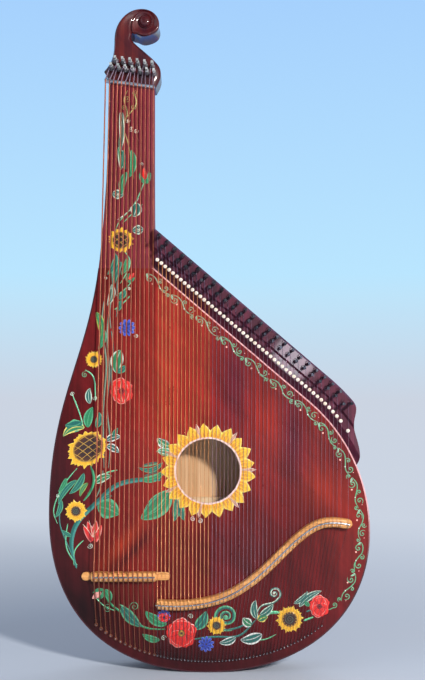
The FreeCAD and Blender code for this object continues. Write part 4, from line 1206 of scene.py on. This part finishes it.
    def sunflower(self, centre, disc, reach, count, start=0.0, squash=(1, 1, 0), tones=None, mesh_lines=0,
                  layer=2, lean=(0.0, 0.0)):
        """A sunflower: two rows of petals and a dark disc with crossing lines or a spiral."""
        tones = tones or (AMBER, YELLOW, LEMON)
        width = 2 * math.pi * (disc + reach) / 2 / count * 0.98
        for row in (0, 1):
            for i in range(count):
                angle = start + (i + 0.5 * (1 - row)) * 360 / count
                length = reach * (0.95 + 0.05 * math.sin(2.4 * i + row))
                length *= 1 + lean[0] * math.cos(math.radians(angle - lean[1]))
                self.petal(centre, disc * 0.85, length - (1 - row) * 0.10 * reach, angle, width, tones,
                           layer + row, squash)
        ring = oval(circle(28) * disc, squash)
        radii = np.linalg.norm(ring, axis=1)
        angle = np.arctan2(ring[:, 1], ring[:, 0])
        at = np.linspace(0, 2 * math.pi, 28, endpoint=False)
        radii = np.interp(at, np.sort(angle % (2 * math.pi)), radii[np.argsort(angle % (2 * math.pi))],
                          period=2 * math.pi)
        self.blob(centre, radii, [(0.1, 0.6, BROWN), (0.55, 0.8, BROWN), (0.86, 1.0, (0.10, 0.03, 0.01)),
                                  (0.96, 0.8, GOLD)], layer + 2, 0.4)
        if mesh_lines:
            for tilt in (35, -40):
                for k in range(mesh_lines):
                    off = (k - (mesh_lines - 1) / 2) * 2 / mesh_lines
                    half_chord = math.sqrt(max(0.0, 0.9 - off * off))
                    ends = np.array([(-half_chord, off), (0, off + 0.06), (half_chord, off)]) * disc
                    turn = math.radians(tilt)
                    spin = np.array([[math.cos(turn), math.sin(turn)], [-math.sin(turn), math.cos(turn)]])
                    ends = oval(ends @ spin, squash) + np.asarray(centre)
                    self.stem([tuple(e) for e in ends], 0.9, GOLD, layer + 10)
        else:
            self.curl(centre, disc * 0.72, 2.2, start, 1, 1.0, GREY_GREEN, layer=layer + 10)
            for i in range(14):
                turn = math.radians(start + i * 360 / 14)
                place = np.asarray(centre) + disc * 0.82 * np.array([math.cos(turn), math.sin(turn)])
                self.dot(place, disc * 0.07, GOLD, layer + 10)

    def poppy(self, centre, reach, start, squash=(1, 1, 0), layer=2, heart=GOLD):
        """A red poppy: overlapping round petals, dark creases, pale strokes and a heart."""
        for i in range(5):
            turn = math.radians(start + i * 72)
            place = oval(np.array([[math.cos(turn), math.sin(turn)]]) * reach * 0.42, squash)[0]
            at = np.linspace(0, 2 * math.pi, 22, endpoint=False)
            radii = reach * (0.60 + 0.035 * np.sin(5 * at + i) + 0.03 * np.sin(9 * at + 2 * i))
            self.blob(np.asarray(centre) + place, radii,
                      [(0.12, 0.6, CRIMSON), (0.5, 0.9, RED), (0.86, 1.0, RED),
                       (0.96, 0.6, PINK if i % 2 else RED)], layer + i, 0.3)
            edge = np.array([[math.cos(turn + d), math.sin(turn + d)] for d in (-0.5, 0, 0.5)])
            edge = oval(edge * reach * 0.82, squash) + np.asarray(centre)
            self.stem([tuple(e) for e in edge], 0.8, PINK, layer + 10)
            crease = np.array([[math.cos(turn + 0.6), math.sin(turn + 0.6)]])
            crease = oval(np.vstack([crease * reach * share for share in (0.2, 0.55, 0.85)]), squash)
            self.stem([tuple(e) for e in crease + np.asarray(centre)], 0.9, CRIMSON, layer + 9)
        self.blob(centre, np.full(14, reach * 0.24), [(0.2, 1, BROWN), (0.6, 1, heart), (0.95, 0.6, BROWN)],
                  layer + 11, 0.3)

    def cornflower(self, centre, reach, start=0.0, layer=2):
        """A blue cornflower: toothed rays in two rings round a dark heart."""
        for row, (inner, outer, count, tone) in enumerate([(0.2, 1.0, 10, BLUE), (0.12, 0.7, 8, NAVY),
                                                           (0.1, 0.5, 7, BLUE)]):
            for i in range(count):
                angle = start + (i + 0.37 * row) * 360 / count
                wide = reach * (0.46 - 0.08 * row)
                self.petal(centre, inner * reach, outer * reach, angle, wide, (NAVY, tone, (0.22, 0.32, 0.8)),
                           layer + row, blunt=0.3)
        self.dot(centre, reach * 0.16, BROWN, layer + 4)

    def bud(self, base, tip, width, tone, cup=GREEN, layer=2):
        """A bud with two sepals."""
        base, tip = np.asarray(base, float), np.asarray(tip, float)
        along = tip - base
        edge = CRIMSON if tone is RED else tone
        self.leaf(base + along * 0.25, tip, width, tone, edge, 0.0, layer + 1, PINK)
        self.leaf(base, base + along * 0.75 + 0.28 * np.array([-along[1], along[0]]), width * 0.6, cup, MINT,
                  0.12, layer + 2)
        self.leaf(base, base + along * 0.75 - 0.28 * np.array([-along[1], along[0]]), width * 0.6, cup, MINT,
                  -0.12, layer + 2)


def circle(count):
    """Unit circle as count points."""
    angle = np.linspace(0, 2 * math.pi, count, endpoint=False)
    return np.column_stack([np.cos(angle), np.sin(angle)])


def oval(points, squash):
    """Points scaled by (a, b) along axes turned by an angle in degrees."""
    a, b, turn = squash
    c, s = math.cos(math.radians(turn)), math.sin(math.radians(turn))
    u = points[:, 0] * c + points[:, 1] * s
    w = -points[:, 0] * s + points[:, 1] * c
    u, w = u * a, w * b
    return np.column_stack([u * c - w * s, u * s + w * c])


def rosette():
    """The sunflower round the sound hole, with leaves beside it."""
    paint = Painting()
    count = 21
    first = 95.6
    tip = 74.0
    foot = HOLE_R + RING_W - 0.6
    for i in range(count):
        angle = first + i * 360 / count
        reach = tip * (1 + 0.022 * math.sin(3.1 * i))
        if i % 3 == 0:
            paint.petal((0, HOLE_Z), foot, tip + 1.5, angle + 8.6, 9.0, (CREAM, (0.55, 0.2, 0.12), WHITE), 0)
        paint.petal((0, HOLE_Z), foot, reach, angle, 21.0, (AMBER, YELLOW, LEMON), 1 + i % 2, blunt=1.05)
        for side in (-4.2, -1.2, 2.2, 5.0):
            turn = math.radians(angle + side)
            inner = foot + 0.6 + abs(side) * 0.3
            outer = foot + 11 - abs(side)
            line = [(inner * math.cos(turn), HOLE_Z + inner * math.sin(turn)),
                    (outer * math.cos(turn), HOLE_Z + outer * math.sin(turn))]
            paint.stem(line, 0.9, AMBER, 8)
    for base, end, width, bend, body, edge in ROSETTE_LEAVES:
        paint.leaf(base, end, width, body, edge, bend, 0)
        middle = (np.array(base) * 0.55 + np.array(end) * 0.45)
        for off in (-0.24, -0.1, 0.12, 0.26):
            across = np.array([-(end[1] - base[1]), end[0] - base[0]]) / math.dist(base, end) * width * off
            ends = [np.array(base) * 0.8 + np.array(end) * 0.2 + across * 0.7, middle + across * 1.1,
                    np.array(base) * 0.2 + np.array(end) * 0.8 + across * 0.5]
            paint.stem([tuple(q) for q in ends], 1.2, MINT if off > 0 else TEAL, 3)
    for centre, reach, turns, start, hand in ROSETTE_CURLS:
        paint.curl(centre, reach, turns, start, hand, 1.3, WHITE, layer=1)
    return make("sunflower_rosette", paint, MATERIALS["paint"], sharp=60)


ROSETTE_LEAVES = [
    ((-57.4, 349.7), (-79.2, 363.6), 15, 0.1, GREEN, WHITE),
    ((-55.9, 337.2), (-80.7, 341.9), 12, -0.15, MINT, WHITE),
    ((-59, 282.9), (-105.2, 237.5), 33, 0.08, GREEN, MINT),
    ((-49.7, 270.5), (-54.3, 233.3), 12, 0.1, TEAL, MINT),
    ((-41.9, 262.8), (-35.7, 234.8), 10, -0.1, TEAL, MINT),
    ((-69.8, 326.4), (-110.2, 318.6), 8, 0.22, TEAL, MINT),
    ((-68.3, 312.4), (-108.6, 300), 11, 0.16, GREEN, MINT),
]
ROSETTE_CURLS = [
    ((-71.4, 351.2), 4.5, 1.6, 20, 1), ((-23.3, 237.9), 4.2, 1.5, 60, 1),
    ((-12.4, 234.8), 4.2, 1.5, 120, -1),
]

NECK_STEMS = [
    ([(-133.5, 869.6), (-132.7, 854.1), (-135, 833.9), (-138.1, 810.6)], 4.5, GREY_GREEN),
    ([(-124.2, 903.7), (-130.4, 888.2), (-125.7, 869.6), (-130.4, 847.9), (-125.7, 826.1),
      (-119.5, 795.1), (-114.8, 764)], 1.4, OLIVE),
    ([(-116.4, 900.6), (-111.7, 882), (-119.5, 869.6), (-127.3, 860.3)], 1.6, OLIVE),
    ([(-97.8, 764), (-107.1, 740.8), (-121.1, 717.5), (-138.1, 698.9), (-144.3, 683.3)], 1.3, MINT),
    ([(-107.1, 736.1), (-124.2, 714.4), (-141.2, 702)], 1.1, PALE),
    ([(-100.9, 726.8), (-118, 711.3), (-133.5, 695.8)], 1.1, MINT),
    ([(-142.8, 652.3), (-149, 624.4), (-147.4, 593.3), (-152.1, 570), (-150.5, 531.2)], 2.6, GREY_GREEN),
    ([(-139.7, 649.2), (-136.6, 627.5), (-141.2, 601.1), (-139.7, 577.8), (-142.8, 549.9)], 1.8, TEAL),
    ([(-130.4, 653.9), (-121.1, 636.8), (-125.7, 621.3), (-136.6, 602.6)], 1.4, MINT),
    ([(-116.4, 608.8), (-130.4, 593.3), (-142.8, 584)], 1.2, MINT),
    ([(-121.1, 584), (-133.5, 571.6), (-145.9, 562.3)], 1.5, MINT),
    ([(-161.4, 577.8), (-164.5, 531.2), (-158.3, 484.7), (-161.4, 430.4), (-163, 376),
      (-161.4, 314)], 2.2, GREY_GREEN),
    ([(-152.1, 570), (-156.8, 523.5), (-153.6, 466.1), (-156.8, 407.1), (-152.1, 360.5),
      (-155.2, 314)], 2.0, GREY_GREEN),
    ([(-150.5, 531.2), (-147.4, 500.2), (-150.5, 466.1), (-149, 438.1)], 1.8, TEAL),
    ([(-191.4, 469.2), (-180, 461.4), (-175.4, 441.2), (-174.6, 419.5)], 1.6, MINT),
    ([(-210.8, 431.5), (-204.9, 416.4), (-198.7, 399.3), (-193.1, 379.2)], 1.6, MINT),
]
NECK_LEAVES = [
    ((-136.6, 869.6), (-135, 810.6), 6.5, 0.04, GREY_GREEN, PALE),
    ((-139.7, 815.3), (-136.6, 778), 8, 0.1, GREEN, PALE),
    ((-130.4, 810.6), (-127.3, 779.6), 7, -0.12, TEAL, MINT),
    ((-119.5, 810.6), (-122.6, 767.2), 8, 0.12, GREEN, MINT),
    ((-125.7, 776.5), (-133.5, 739.2), 8, -0.1, GREEN, MINT),
    ((-111.7, 728.4), (-116.4, 706.6), 14, 0.1, TEAL, PALE),
    ((-142.8, 649.2), (-156.8, 616.6), 7, 0.12, TEAL, MINT),
    ((-133.5, 636.8), (-144.3, 602.6), 8, -0.12, TEAL, MINT),
    ((-125.7, 643), (-135, 616.6), 7, 0.1, GREEN, MINT),
    ((-149, 602.6), (-156.8, 568.5), 8, 0.1, GREY_GREEN, PALE),
    ((-128.8, 593.3), (-141.2, 579.4), 7, 0.15, TEAL, MINT),
    ((-135, 577.8), (-142.8, 559.2), 6, 0.1, TEAL, MINT),
    ((-173.8, 559.2), (-166.1, 518.8), 9, 0.1, GREEN, LIME),
    ((-163, 534.4), (-170.7, 500.2), 8, 0.1, GREEN, MINT),
    ((-135, 500.2), (-141.2, 463), 15, -0.1, GREEN, PALE),
    ((-127.3, 475.4), (-144.3, 466.1), 8, 0.1, TEAL, MINT),
    ((-183.1, 416.4), (-183.1, 441.2), 8, 0.1, TEAL, PALE),
    ((-195.6, 388.5), (-221.9, 383.8), 15, 0.15, TEAL, MINT),
    ((-190.9, 379.2), (-225, 365.2), 11, -0.2, GREEN, LEMON),
    ((-186.2, 379.2), (-178.5, 411.7), 11, 0.1, GREEN, MINT),
    ((-173.8, 379.2), (-169.2, 404), 8, -0.1, TEAL, MINT),
    ((-158.3, 359), (-135, 365.2), 9, 0.1, TEAL, WHITE),
    ((-158.3, 351.2), (-138.1, 340.4), 9, 0.1, TEAL, WHITE),
    ((-94.7, 757.8), (-88.5, 774.9), 7, 0.1, GREEN, MINT),
    ((-145.9, 360.5), (-139.7, 379.2), 6, 0.1, TEAL, MINT),
]
NECK_CURLS = [
    ((-125.7, 889.8), 5.5, 1.6, 200, 1, OLIVE), ((-114.8, 899.1), 4.5, 1.5, 90, -1, OLIVE),
    ((-130.4, 875.8), 4.5, 1.5, 320, 1, OLIVE), ((-115.6, 877.3), 5.0, 1.6, 60, -1, OLIVE),
    ((-119.5, 843.2), 4.5, 1.6, 180, 1, CREAM), ((-111.7, 840.1), 4.0, 1.5, 30, -1, CREAM),
    ((-124.2, 855.6), 3.5, 1.4, 200, 1, CREAM), ((-103.5, 788.6), 3.0, 1.3, 300, 1, PALE),
    ((-111.4, 522.2), 3.6, 1.5, 160, 1, PALE), ((-191.4, 461.7), 5.0, 1.6, 60, 1, MINT),
    ((-210.8, 431.5), 3.6, 1.5, 0, 1, PALE), ((-175.4, 425.7), 4.0, 1.4, 160, 1, PALE),
    ((-149, 596.4), 3.0, 1.3, 90, 1, PALE), ((-122.6, 594.9), 3.2, 1.4, 200, -1, PALE),
    ((-158.3, 612), 3.0, 1.3, 90, 1, PALE),
]
LOWER_LEFT_STEMS = [
    ([(-202.2, 317.8), (-224.4, 290.1), (-234.2, 270.7), (-239.6, 247.2), (-232.8, 229.2)], 1.3, MINT),
    ([(-182.8, 320.6), (-177.2, 301.2), (-187, 273.6), (-194, 265.2)], 3.2, GREEN),
    ([(-72, 298.4), (-106.6, 298.4), (-148.2, 286), (-167.6, 268), (-185.6, 251.3), (-203.6, 230.5),
      (-212, 202.8), (-203.6, 159.9)], 6.2, TEAL),
    ([(-228.6, 262.8), (-230, 230.5), (-221.6, 205.6), (-208, 174.3)], 1.6, TEAL),
    ([(-217.4, 231.7), (-218.8, 190.4), (-201.8, 165)], 1.5, MINT),
    ([(-176, 292.9), (-162, 306.8), (-139.8, 313.7)], 2.0, MINT),
    ([(-192.4, 205.3), (-206.4, 189.8), (-208, 165)], 1.4, MINT),
    ([(-163, 314), (-166.1, 290.7), (-173.8, 270.5)], 1.8, GREY_GREEN),
]
LOWER_LEFT_LEAVES = [
    ((-192.6, 309.5), (-216, 276.3), 8, 0.1, TEAL, MINT),
    ((-203.3, 298.4), (-232.8, 259.6), 7, -0.1, TEAL, MINT),
    ((-176, 292.9), (-149, 304.7), 10, 0.1, GREEN, PALE),
    ((-172.3, 256.5), (-138.1, 244.1), 24, 0.08, GREEN, MINT),
    ((-228.1, 267.4), (-237.5, 239.5), 6, 0.1, TEAL, MINT),
    ((-180, 205.3), (-167.6, 220.8), 8, 0.1, TEAL, MINT),
    ((-220.4, 301.6), (-232.8, 279.8), 6, 0.1, GREEN, MINT),
    ((-186.2, 293.8), (-198.7, 272.1), 6, -0.1, GREEN, LIME),
    ((-211.1, 211.5), (-226.6, 220.8), 5, 0.1, TEAL, MINT),
    ((-163, 267.4), (-149, 273.6), 6, 0.1, TEAL, MINT),
]
LOWER_LEFT_CURLS = [
    ((-182.8, 196), 4.6, 1.7, 180, 1, PALE), ((-166.1, 298.4), 3.6, 1.4, 200, -1, PALE),
    ((-232.8, 273.6), 3.0, 1.3, 90, 1, PALE), ((-149, 256.5), 3.4, 1.4, 60, 1, PALE),
]
GARLAND_STEMS = [
    ([(-163.3, 130.8), (-152.6, 108), (-129.6, 89.6), (-98.9, 69.7), (-65.2, 66.6)], 2.6, GREEN),
    ([(-173.8, 115.3), (-161.4, 102.9), (-142.8, 95.1)], 1.4, MINT),
    ([(-26.4, 50.1), (15.5, 54.8), (50.8, 57.9), (73.7, 80.7), (76.7, 83.5)], 2.6, TEAL),
    ([(76.7, 83.5), (95.3, 92), (113.9, 92)], 4.0, MINT),
    ([(27.9, 65.6), (49.7, 70.3), (68.3, 82.7)], 2.4, TEAL), ([(152.1, 93.6), (161.4, 96.7)], 2.0, TEAL),
    ([(147.4, 79.6), (164.5, 85.8)], 2.4, MINT),
    ([(-116.4, 84.3), (-127.3, 99.8), (-139.7, 106)], 1.3, MINT),
    ([(59, 54.8), (83.8, 50.1), (107.1, 59.4)], 1.4, MINT),
]
GARLAND_LEAVES = [
    ((-161.4, 127.7), (-152.1, 109.1), 9, 0.12, GREEN, MINT),
    ((-135, 102.9), (-102.4, 70.3), 13, -0.06, TEAL, MINT),
    ((-63.6, 74.2), (-97.8, 95.1), 12, 0.1, GREEN, MINT),
    ((-21.7, 67.2), (-3.1, 95.1), 13, -0.12, TEAL, MINT), ((76, 82.7), (74.5, 112.2), 9, 0.14, TEAL, PALE),
    ((79.2, 87.4), (100.9, 106), 9, -0.1, TEAL, PALE), ((68.3, 73.4), (54.3, 84.3), 11, 0.1, GREEN, WHITE),
    ((77.6, 79.6), (93.1, 85.8), 10, 0.1, GREEN, LEMON), ((83.8, 59.4), (49.7, 50.1), 13, 0.1, TEAL, WHITE),
    ((43.5, 54.8), (17.1, 45.5), 9, 0.1, TEAL, WHITE),
    ((132.5, 106.3), (155.2, 126.2), 6, -0.1, TEAL, PALE),
    ((141.2, 100.7), (176.9, 126.2), 8, 0.1, TEAL, PALE),
    ((-74.5, 50.1), (-102.4, 59.4), 8, 0.1, GREEN, MINT),
    ((158.3, 102.9), (149, 112.2), 5, 0.1, GREEN, MINT),
]
GARLAND_CURLS = [
    ((-155.7, 98.7), 7.0, 1.6, 60, 1, MINT), ((-114.2, 101.8), 8.5, 1.7, 250, -1, MINT),
    ((-68.9, 52.8), 4.5, 1.5, 0, 1, PALE), ((-26.7, 86.4), 4.5, 1.5, 200, -1, PALE),
    ((-46.6, 98.2), 3.2, 1.4, 60, 1, PALE),
]


STEM_FULLNESS = 1.25
LEAF_FULLNESS = 1.35


def paint_all(paint, stems, leaves, curls):
    """Stems, then leaves, then curls."""
    for points, width, tone in stems:
        light = tuple(min(1.0, c * 1.8 + 0.03) for c in tone)
        paint.stem(points, width * STEM_FULLNESS, tone, 0, light=light)
    for base, tip, width, bend, body, edge in leaves:
        paint.leaf(base, tip, width * LEAF_FULLNESS, body, edge, bend, 1)
    for centre, reach, turns, start, hand, tone in curls:
        paint.curl(centre, reach, turns, start, hand, 1.3, tone, layer=1)


def neck_flowers():
    """The tall garland: from the nut down the neck and the bass side of the soundboard."""
    paint = Painting()
    paint_all(paint, NECK_STEMS, NECK_LEAVES, NECK_CURLS)
    for centre, flip in (((-139.7, 741.5), 1), ((-109.4, 686.4), -1)):
        left, right = (centre[0] - 9 * flip, centre[1] + 1), (centre[0] + 9 * flip, centre[1] - 1)
        paint.leaf(left, right, 15, TEAL, PALE)
        paint.curl(centre, 4.0, 1.6, 90, flip, 1.1, CREAM, layer=3)
    paint.bud((-96.2, 757.8), (-100.1, 782.7), 9.5, RED)
    paint.bud((-125.7, 605.7), (-114.8, 619.7), 8.0, RED)
    paint.sunflower((-135.3, 670.2), 14.0, 21.0, 14, 8, mesh_lines=4)
    paint.sunflower((-177.2, 485.3), 6.2, 14.6, 18, 4)
    paint.sunflower((-185.8, 347.8), 22.5, 30.5, 18, 5, squash=(1.17, 0.93, 35), mesh_lines=5,
                    lean=(0.09, 235))
    paint.cornflower((-125.7, 534.4), 13.5)
    paint.poppy((-134.1, 436.6), 20.5, 40, squash=(0.62, 1.0, 10), heart=CRIMSON)
    paint.stem([(-135, 450.5), (-135.8, 435), (-131.9, 419.5)], 1.0, CREAM, 16)
    paint.stem([(-128.8, 447.4), (-127.3, 431.9), (-130.4, 418)], 0.9, CREAM, 16)
    return make("neck_garland", paint, MATERIALS["paint"], sharp=60)


def lower_left_flowers():
    """Flowers and stems between the tall garland and the bass bridge."""
    paint = Painting()
    paint_all(paint, LOWER_LEFT_STEMS, LOWER_LEFT_LEAVES, LOWER_LEFT_CURLS)
    paint.sunflower((-205, 249.9), 8.4, 18.5, 11, 3, tones=(AMBER, YELLOW, LEMON))
    for angle, length, layer in ((126, 27, 2), (62, 27, 2), (108, 31, 3), (82, 31, 4)):
        paint.petal((-177.7, 204.6), 0.0, length, angle, 13.0, (CRIMSON, RED, PINK), layer, blunt=0.8)
    for tip in ((-194.8, 230.2), (-184.7, 235.6), (-173.8, 235.6), (-166.8, 227.1)):
        foot = (-178.5, 208.4)
        paint.stem([foot, ((foot[0] + tip[0]) / 2, (foot[1] + tip[1]) / 2 + 1.5), tip], 1.0, CREAM, 8)
    return make("lower_left_flowers", paint, MATERIALS["paint"], sharp=60)


def lower_garland():
    """The wide garland below the bridges."""
    paint = Painting()
    paint_all(paint, GARLAND_STEMS, GARLAND_LEAVES, GARLAND_CURLS)
    paint.curl((28.6, 86.4), 17.0, 1.9, 190, -1, 7.0, TEAL, lead=[(38.8, 65.6), (21.7, 67.2)], layer=2,
               light=MINT)
    paint.curl((103.2, 122.3), 10.5, 1.6, 300, 1, 4.2, TEAL,
               lead=[(74.5, 87.4), (83.8, 102.9), (100.9, 107.6)], layer=2, light=PALE)
    paint.curl((196.3, 104.4), 4.6, 1.4, 250, 1, 1.6, MINT, lead=[(184.7, 96.7), (190.9, 98.2)], layer=2)
    paint.bud((-161.4, 127.7), (-180, 113.8), 9.0, PINK)
    paint.poppy((-41.3, 60.4), 23.5, 20)
    paint.poppy((-68.3, 85), 9.0, 0, squash=(1, 0.6, 0), heart=NAVY)
    paint.cornflower((-68.3, 87.4), 10.5)
    paint.cornflower((-2.9, 43.5), 12.6, 14)
    paint.sunflower((13.2, 72.3), 7.2, 16.0, 16, 3)
    paint.sunflower((126.8, 82.1), 12.4, 22.4, 16, 6)
    paint.poppy((172.9, 102.1), 17.5, 30, squash=(0.72, 1.0, -8), heart=CRIMSON)
    return make("lower_garland", paint, MATERIALS["paint"], sharp=60)


def border_line(out):
    """The treble edge moved outwards by out, from the neck down to the lower right."""
    knee_x = ARC_X + (FLANK_RADIUS + out) * math.sin(EDGE)
    straight = [(x, edge_z(x, out)) for x in np.linspace(-96, knee_x, 40)]
    angle = np.linspace(math.pi / 2 - EDGE, 0, 40)
    arc = [(ARC_X + (FLANK_RADIUS + out) * math.cos(a), BELLY_RIGHT_Z + (FLANK_RADIUS + out) * math.sin(a))
           for a in angle]
    lobe = bezier((BODY_RIGHT, BELLY_RIGHT_Z), (BODY_RIGHT, BELLY_RIGHT_Z * (1 - LOBE_RIGHT)),
                  (BODY_RIGHT * LOBE_RIGHT, 0), (0, 0), 60)
    heading = directions(lobe)
    low = lobe + np.column_stack([-heading[:, 1], heading[:, 0]]) * out
    low = low[low[:, 1] > 106]
    return even(np.vstack([straight, arc[1:], low[1:]]), 400)


def border_vine():
    """The scroll vine inside the treble edge: a wave with curls on both sides and small dots."""
    paint = Painting()
    line = border_line(-14.0)
    heading = directions(line)
    sideways = np.column_stack([-heading[:, 1], heading[:, 0]])
    length = np.linalg.norm(np.diff(line, axis=0), axis=1).sum()
    motifs = 13
    pitch = 400 / motifs

    def at(place, off):
        """Point of the vine at a share of the row of motifs, moved sideways."""
        i = int(np.clip(place * pitch, 0, 399))
        return line[i] + sideways[i] * off

    step = length / motifs
    for m in range(motifs):
        tone = (0.10, 0.36, 0.18) if m % 2 else (0.13, 0.30, 0.17)
        if m < 3:
            tone = (0.30, 0.27, 0.19)
        points = [at(m + f, 4.4 * math.sin(2 * math.pi * f)) for f in np.linspace(0.02, 0.98, 9)]
        paint.stem([tuple(q) for q in points], 1.7, tone, 0, light=MINT)
        for place, off, reach, hand in ((0.22, -2.6, 6.2, 1), (0.50, 4.6, 4.4, -1), (0.76, 2.4, 6.0, 1),
                                        (0.96, -4.4, 3.8, -1)):
            spot = at(m + place, off)
            turn = 40 + 95 * m + 170 * place
            paint.curl(tuple(spot), reach, 1.15, turn % 360, hand, 1.9, tone, layer=1, light=MINT)
        paint.dot(at(m + 0.36, -5.6), 1.4, (1.0, 0.5, 0.42), 2)
        paint.dot(at(m + 0.62, -3.4), 0.9, WHITE, 2)
        paint.leaf(tuple(at(m + 0.02, 0.0)), tuple(at(m + 0.14, -4.0 * step / 40)), 3.0, MINT, PALE, 0.1, 1)
        paint.dot(at(m + 0.9, 5.0), 0.8, PINK, 2)
    return make("border_vine", paint, MATERIALS["paint"], sharp=60)


# Camera, light and floor

CAMERA_PLACE = (-0.0047, -1.6, 0.4226)
CAMERA_LENS = 54.58
CAMERA_SHIFT = (0.011, 0.088)
KEY_DIRECTION = (0.495, -1.0, 0.36)
KEY_DISTANCE = 2.8
FLOOR_HALF = 12.0
FLOOR_GAP = 0.0006
REFLECTED_FLOOR = (0.16, 0.34, 0.90)


def stage():
    """A pale floor and backdrop, a small key light from the right, a wide soft fill, a wide light
    behind that shows in no reflection, and a small lamp whose mirror image lies on the pin block."""
    scene = bpy.context.scene
    scene.view_settings.view_transform = "Standard"
    camera = bpy.data.objects.new("camera", bpy.data.cameras.new("camera"))
    camera.location = CAMERA_PLACE
    camera.rotation_euler = (math.radians(90), 0, 0)
    camera.data.sensor_fit = "VERTICAL"
    camera.data.sensor_height = 36
    camera.data.lens = CAMERA_LENS
    camera.data.shift_x, camera.data.shift_y = CAMERA_SHIFT
    scene.collection.objects.link(camera)
    scene.camera = camera

    def lamp(name, place, target, size, power, tone, mirrored=True):
        """An area light that looks at a point. One that isn't mirrored shows in no reflection."""
        data = bpy.data.lights.new(name, "AREA")
        data.shape = "DISK"
        data.size = size
        data.energy = power
        data.color = tone
        obj = bpy.data.objects.new(name, data)
        obj.visible_glossy = mirrored
        obj.location = place
        aim = np.array(target) - np.array(place)
        length = np.linalg.norm(aim)
        obj.rotation_euler = (math.acos(-aim[2] / length), 0, math.atan2(aim[1], aim[0]) - math.pi / 2)
        scene.collection.objects.link(obj)

    centre = np.array((0.0, 0.0, 0.45))
    key = centre + KEY_DISTANCE * unit(np.array(KEY_DIRECTION))
    lamp("key", key, centre, 0.3, 92.0, (1.0, 0.97, 0.93))
    lamp("fill", (-2.2, -1.6, 1.6), centre, 2.4, 16.0, (0.80, 0.90, 1.0))
    lamp("back_fill", (1.2, 2.6, 1.8), centre, 2.4, 36.0, (1.0, 1.0, 1.0), mirrored=False)
    lamp("glint", (0.35, -2.5, 0.59), (0.14, 0.0, 0.485), 0.17, 0.75, (0.92, 0.88, 1.0))

    world = bpy.data.worlds.new("studio")
    world.use_nodes = True
    world.node_tree.nodes.clear()
    g = Graph(world.node_tree)
    shown = shown_rays(g)
    parts = g.add("ShaderNodeSeparateXYZ", {0: g.add("ShaderNodeTexCoord").outputs["Generated"]})
    backdrop = sky(g, parts.outputs[2])
    far_side = g.span(parts.outputs[1], -0.2, 0.5)
    camera_ray = g.add("ShaderNodeLightPath").outputs["Is Camera Ray"]
    bright = g.math("MAXIMUM", camera_ray, far_side)
    backdrop = g.mix(bright, colour4((0.10, 0.11, 0.13)), backdrop)
    colour = g.mix(shown, colour4((0.20, 0.22, 0.26)), backdrop)
    background = g.add("ShaderNodeBackground", {"Color": colour, "Strength": 1.0})
    g.add("ShaderNodeOutputWorld", {"Surface": background.outputs[0]})
    scene.world = world

    mesh = bpy.data.meshes.new("floor")
    reach = FLOOR_HALF
    mesh.from_pydata([(-reach, -reach, 0), (reach, -reach, 0), (reach, reach, 0), (-reach, reach, 0)], [],
                     [(0, 1, 2, 3)])
    floor = bpy.data.objects.new("floor", mesh)
    floor.location = (0, 0, -FLOOR_GAP)
    scene.collection.objects.link(floor)
    mesh.materials.append(floor_material())


def shown_rays(g):
    """1 for rays that show the backdrop: camera, glossy and transmission rays."""
    path = g.add("ShaderNodeLightPath").outputs
    return g.math("MAXIMUM", g.math("MAXIMUM", path["Is Camera Ray"], path["Is Glossy Ray"]),
                  path["Is Transmission Ray"])


def sky(g, height):
    """The backdrop's colour: grey white at the horizon, pale blue above."""
    low = g.mix(g.span(height, 0.0, 0.12), colour4(HORIZON), colour4((0.50, 0.80, 1.0)))
    return g.mix(g.span(height, 0.1, 0.45), low, colour4((0.34, 0.58, 0.98)))


def floor_material():
    """Pale matt floor that fades into the backdrop's horizon away from the object. Reflections show
    it bluer behind the object, as a blue backdrop would."""
    material, g, inputs, place = new_material("pale_floor")
    cloud = g.noise(place, 1.5, 3.0)
    put(g, inputs["Base Color"], g.mix(g.span(cloud, 0.2, 0.8), colour4((0.56, 0.61, 0.70)),
                                       colour4((0.60, 0.65, 0.74))))
    put(g, inputs["Roughness"], g.span(cloud, 0.3, 0.7, 0.6, 0.75))
    principled = inputs["Roughness"].node
    output = [node for node in material.node_tree.nodes if node.type == "OUTPUT_MATERIAL"][0]
    away = g.vector("LENGTH", g.vector("MULTIPLY", place, (1.0, 1.0, 0.0)))
    fade = g.math("MULTIPLY", g.span(away, FLOOR_FADE_START, FLOOR_FADE_END), shown_rays(g))
    mirrored = g.add("ShaderNodeLightPath").outputs["Is Glossy Ray"]
    behind = g.span(g.add("ShaderNodeSeparateXYZ", {0: place}).outputs[1], 1.2, 3.0)
    far = g.mix(g.math("MULTIPLY", mirrored, behind), colour4(HORIZON), colour4(REFLECTED_FLOOR))
    glow = g.add("ShaderNodeEmission", {"Color": far, "Strength": 1.0})
    both = g.add("ShaderNodeMixShader", {0: fade, 1: principled.outputs[0], 2: glow.outputs[0]})
    put(g, output.inputs["Surface"], both.outputs[0])
    return material


HORIZON = (0.60, 0.66, 0.76)
FLOOR_FADE_START = 0.5
FLOOR_FADE_END = 2.2

dress_nodes()
neck()
head()
nut()
treble_bridge()
bass_bridge()
bass_strings()
treble_strings("wound_treble_strings", 0, WOUND_TREBLES, (0.6, 0.45), BRASS_TONE,
               "treble_wound_strings")
treble_strings("plain_treble_strings", WOUND_TREBLES, TREBLE_STRINGS, (0.35, 0.25), WIRE_TONE,
               "treble_plain_strings")
beads()
hitch_pins()
rosette()
neck_flowers()
lower_left_flowers()
lower_garland()
border_vine()
stage()
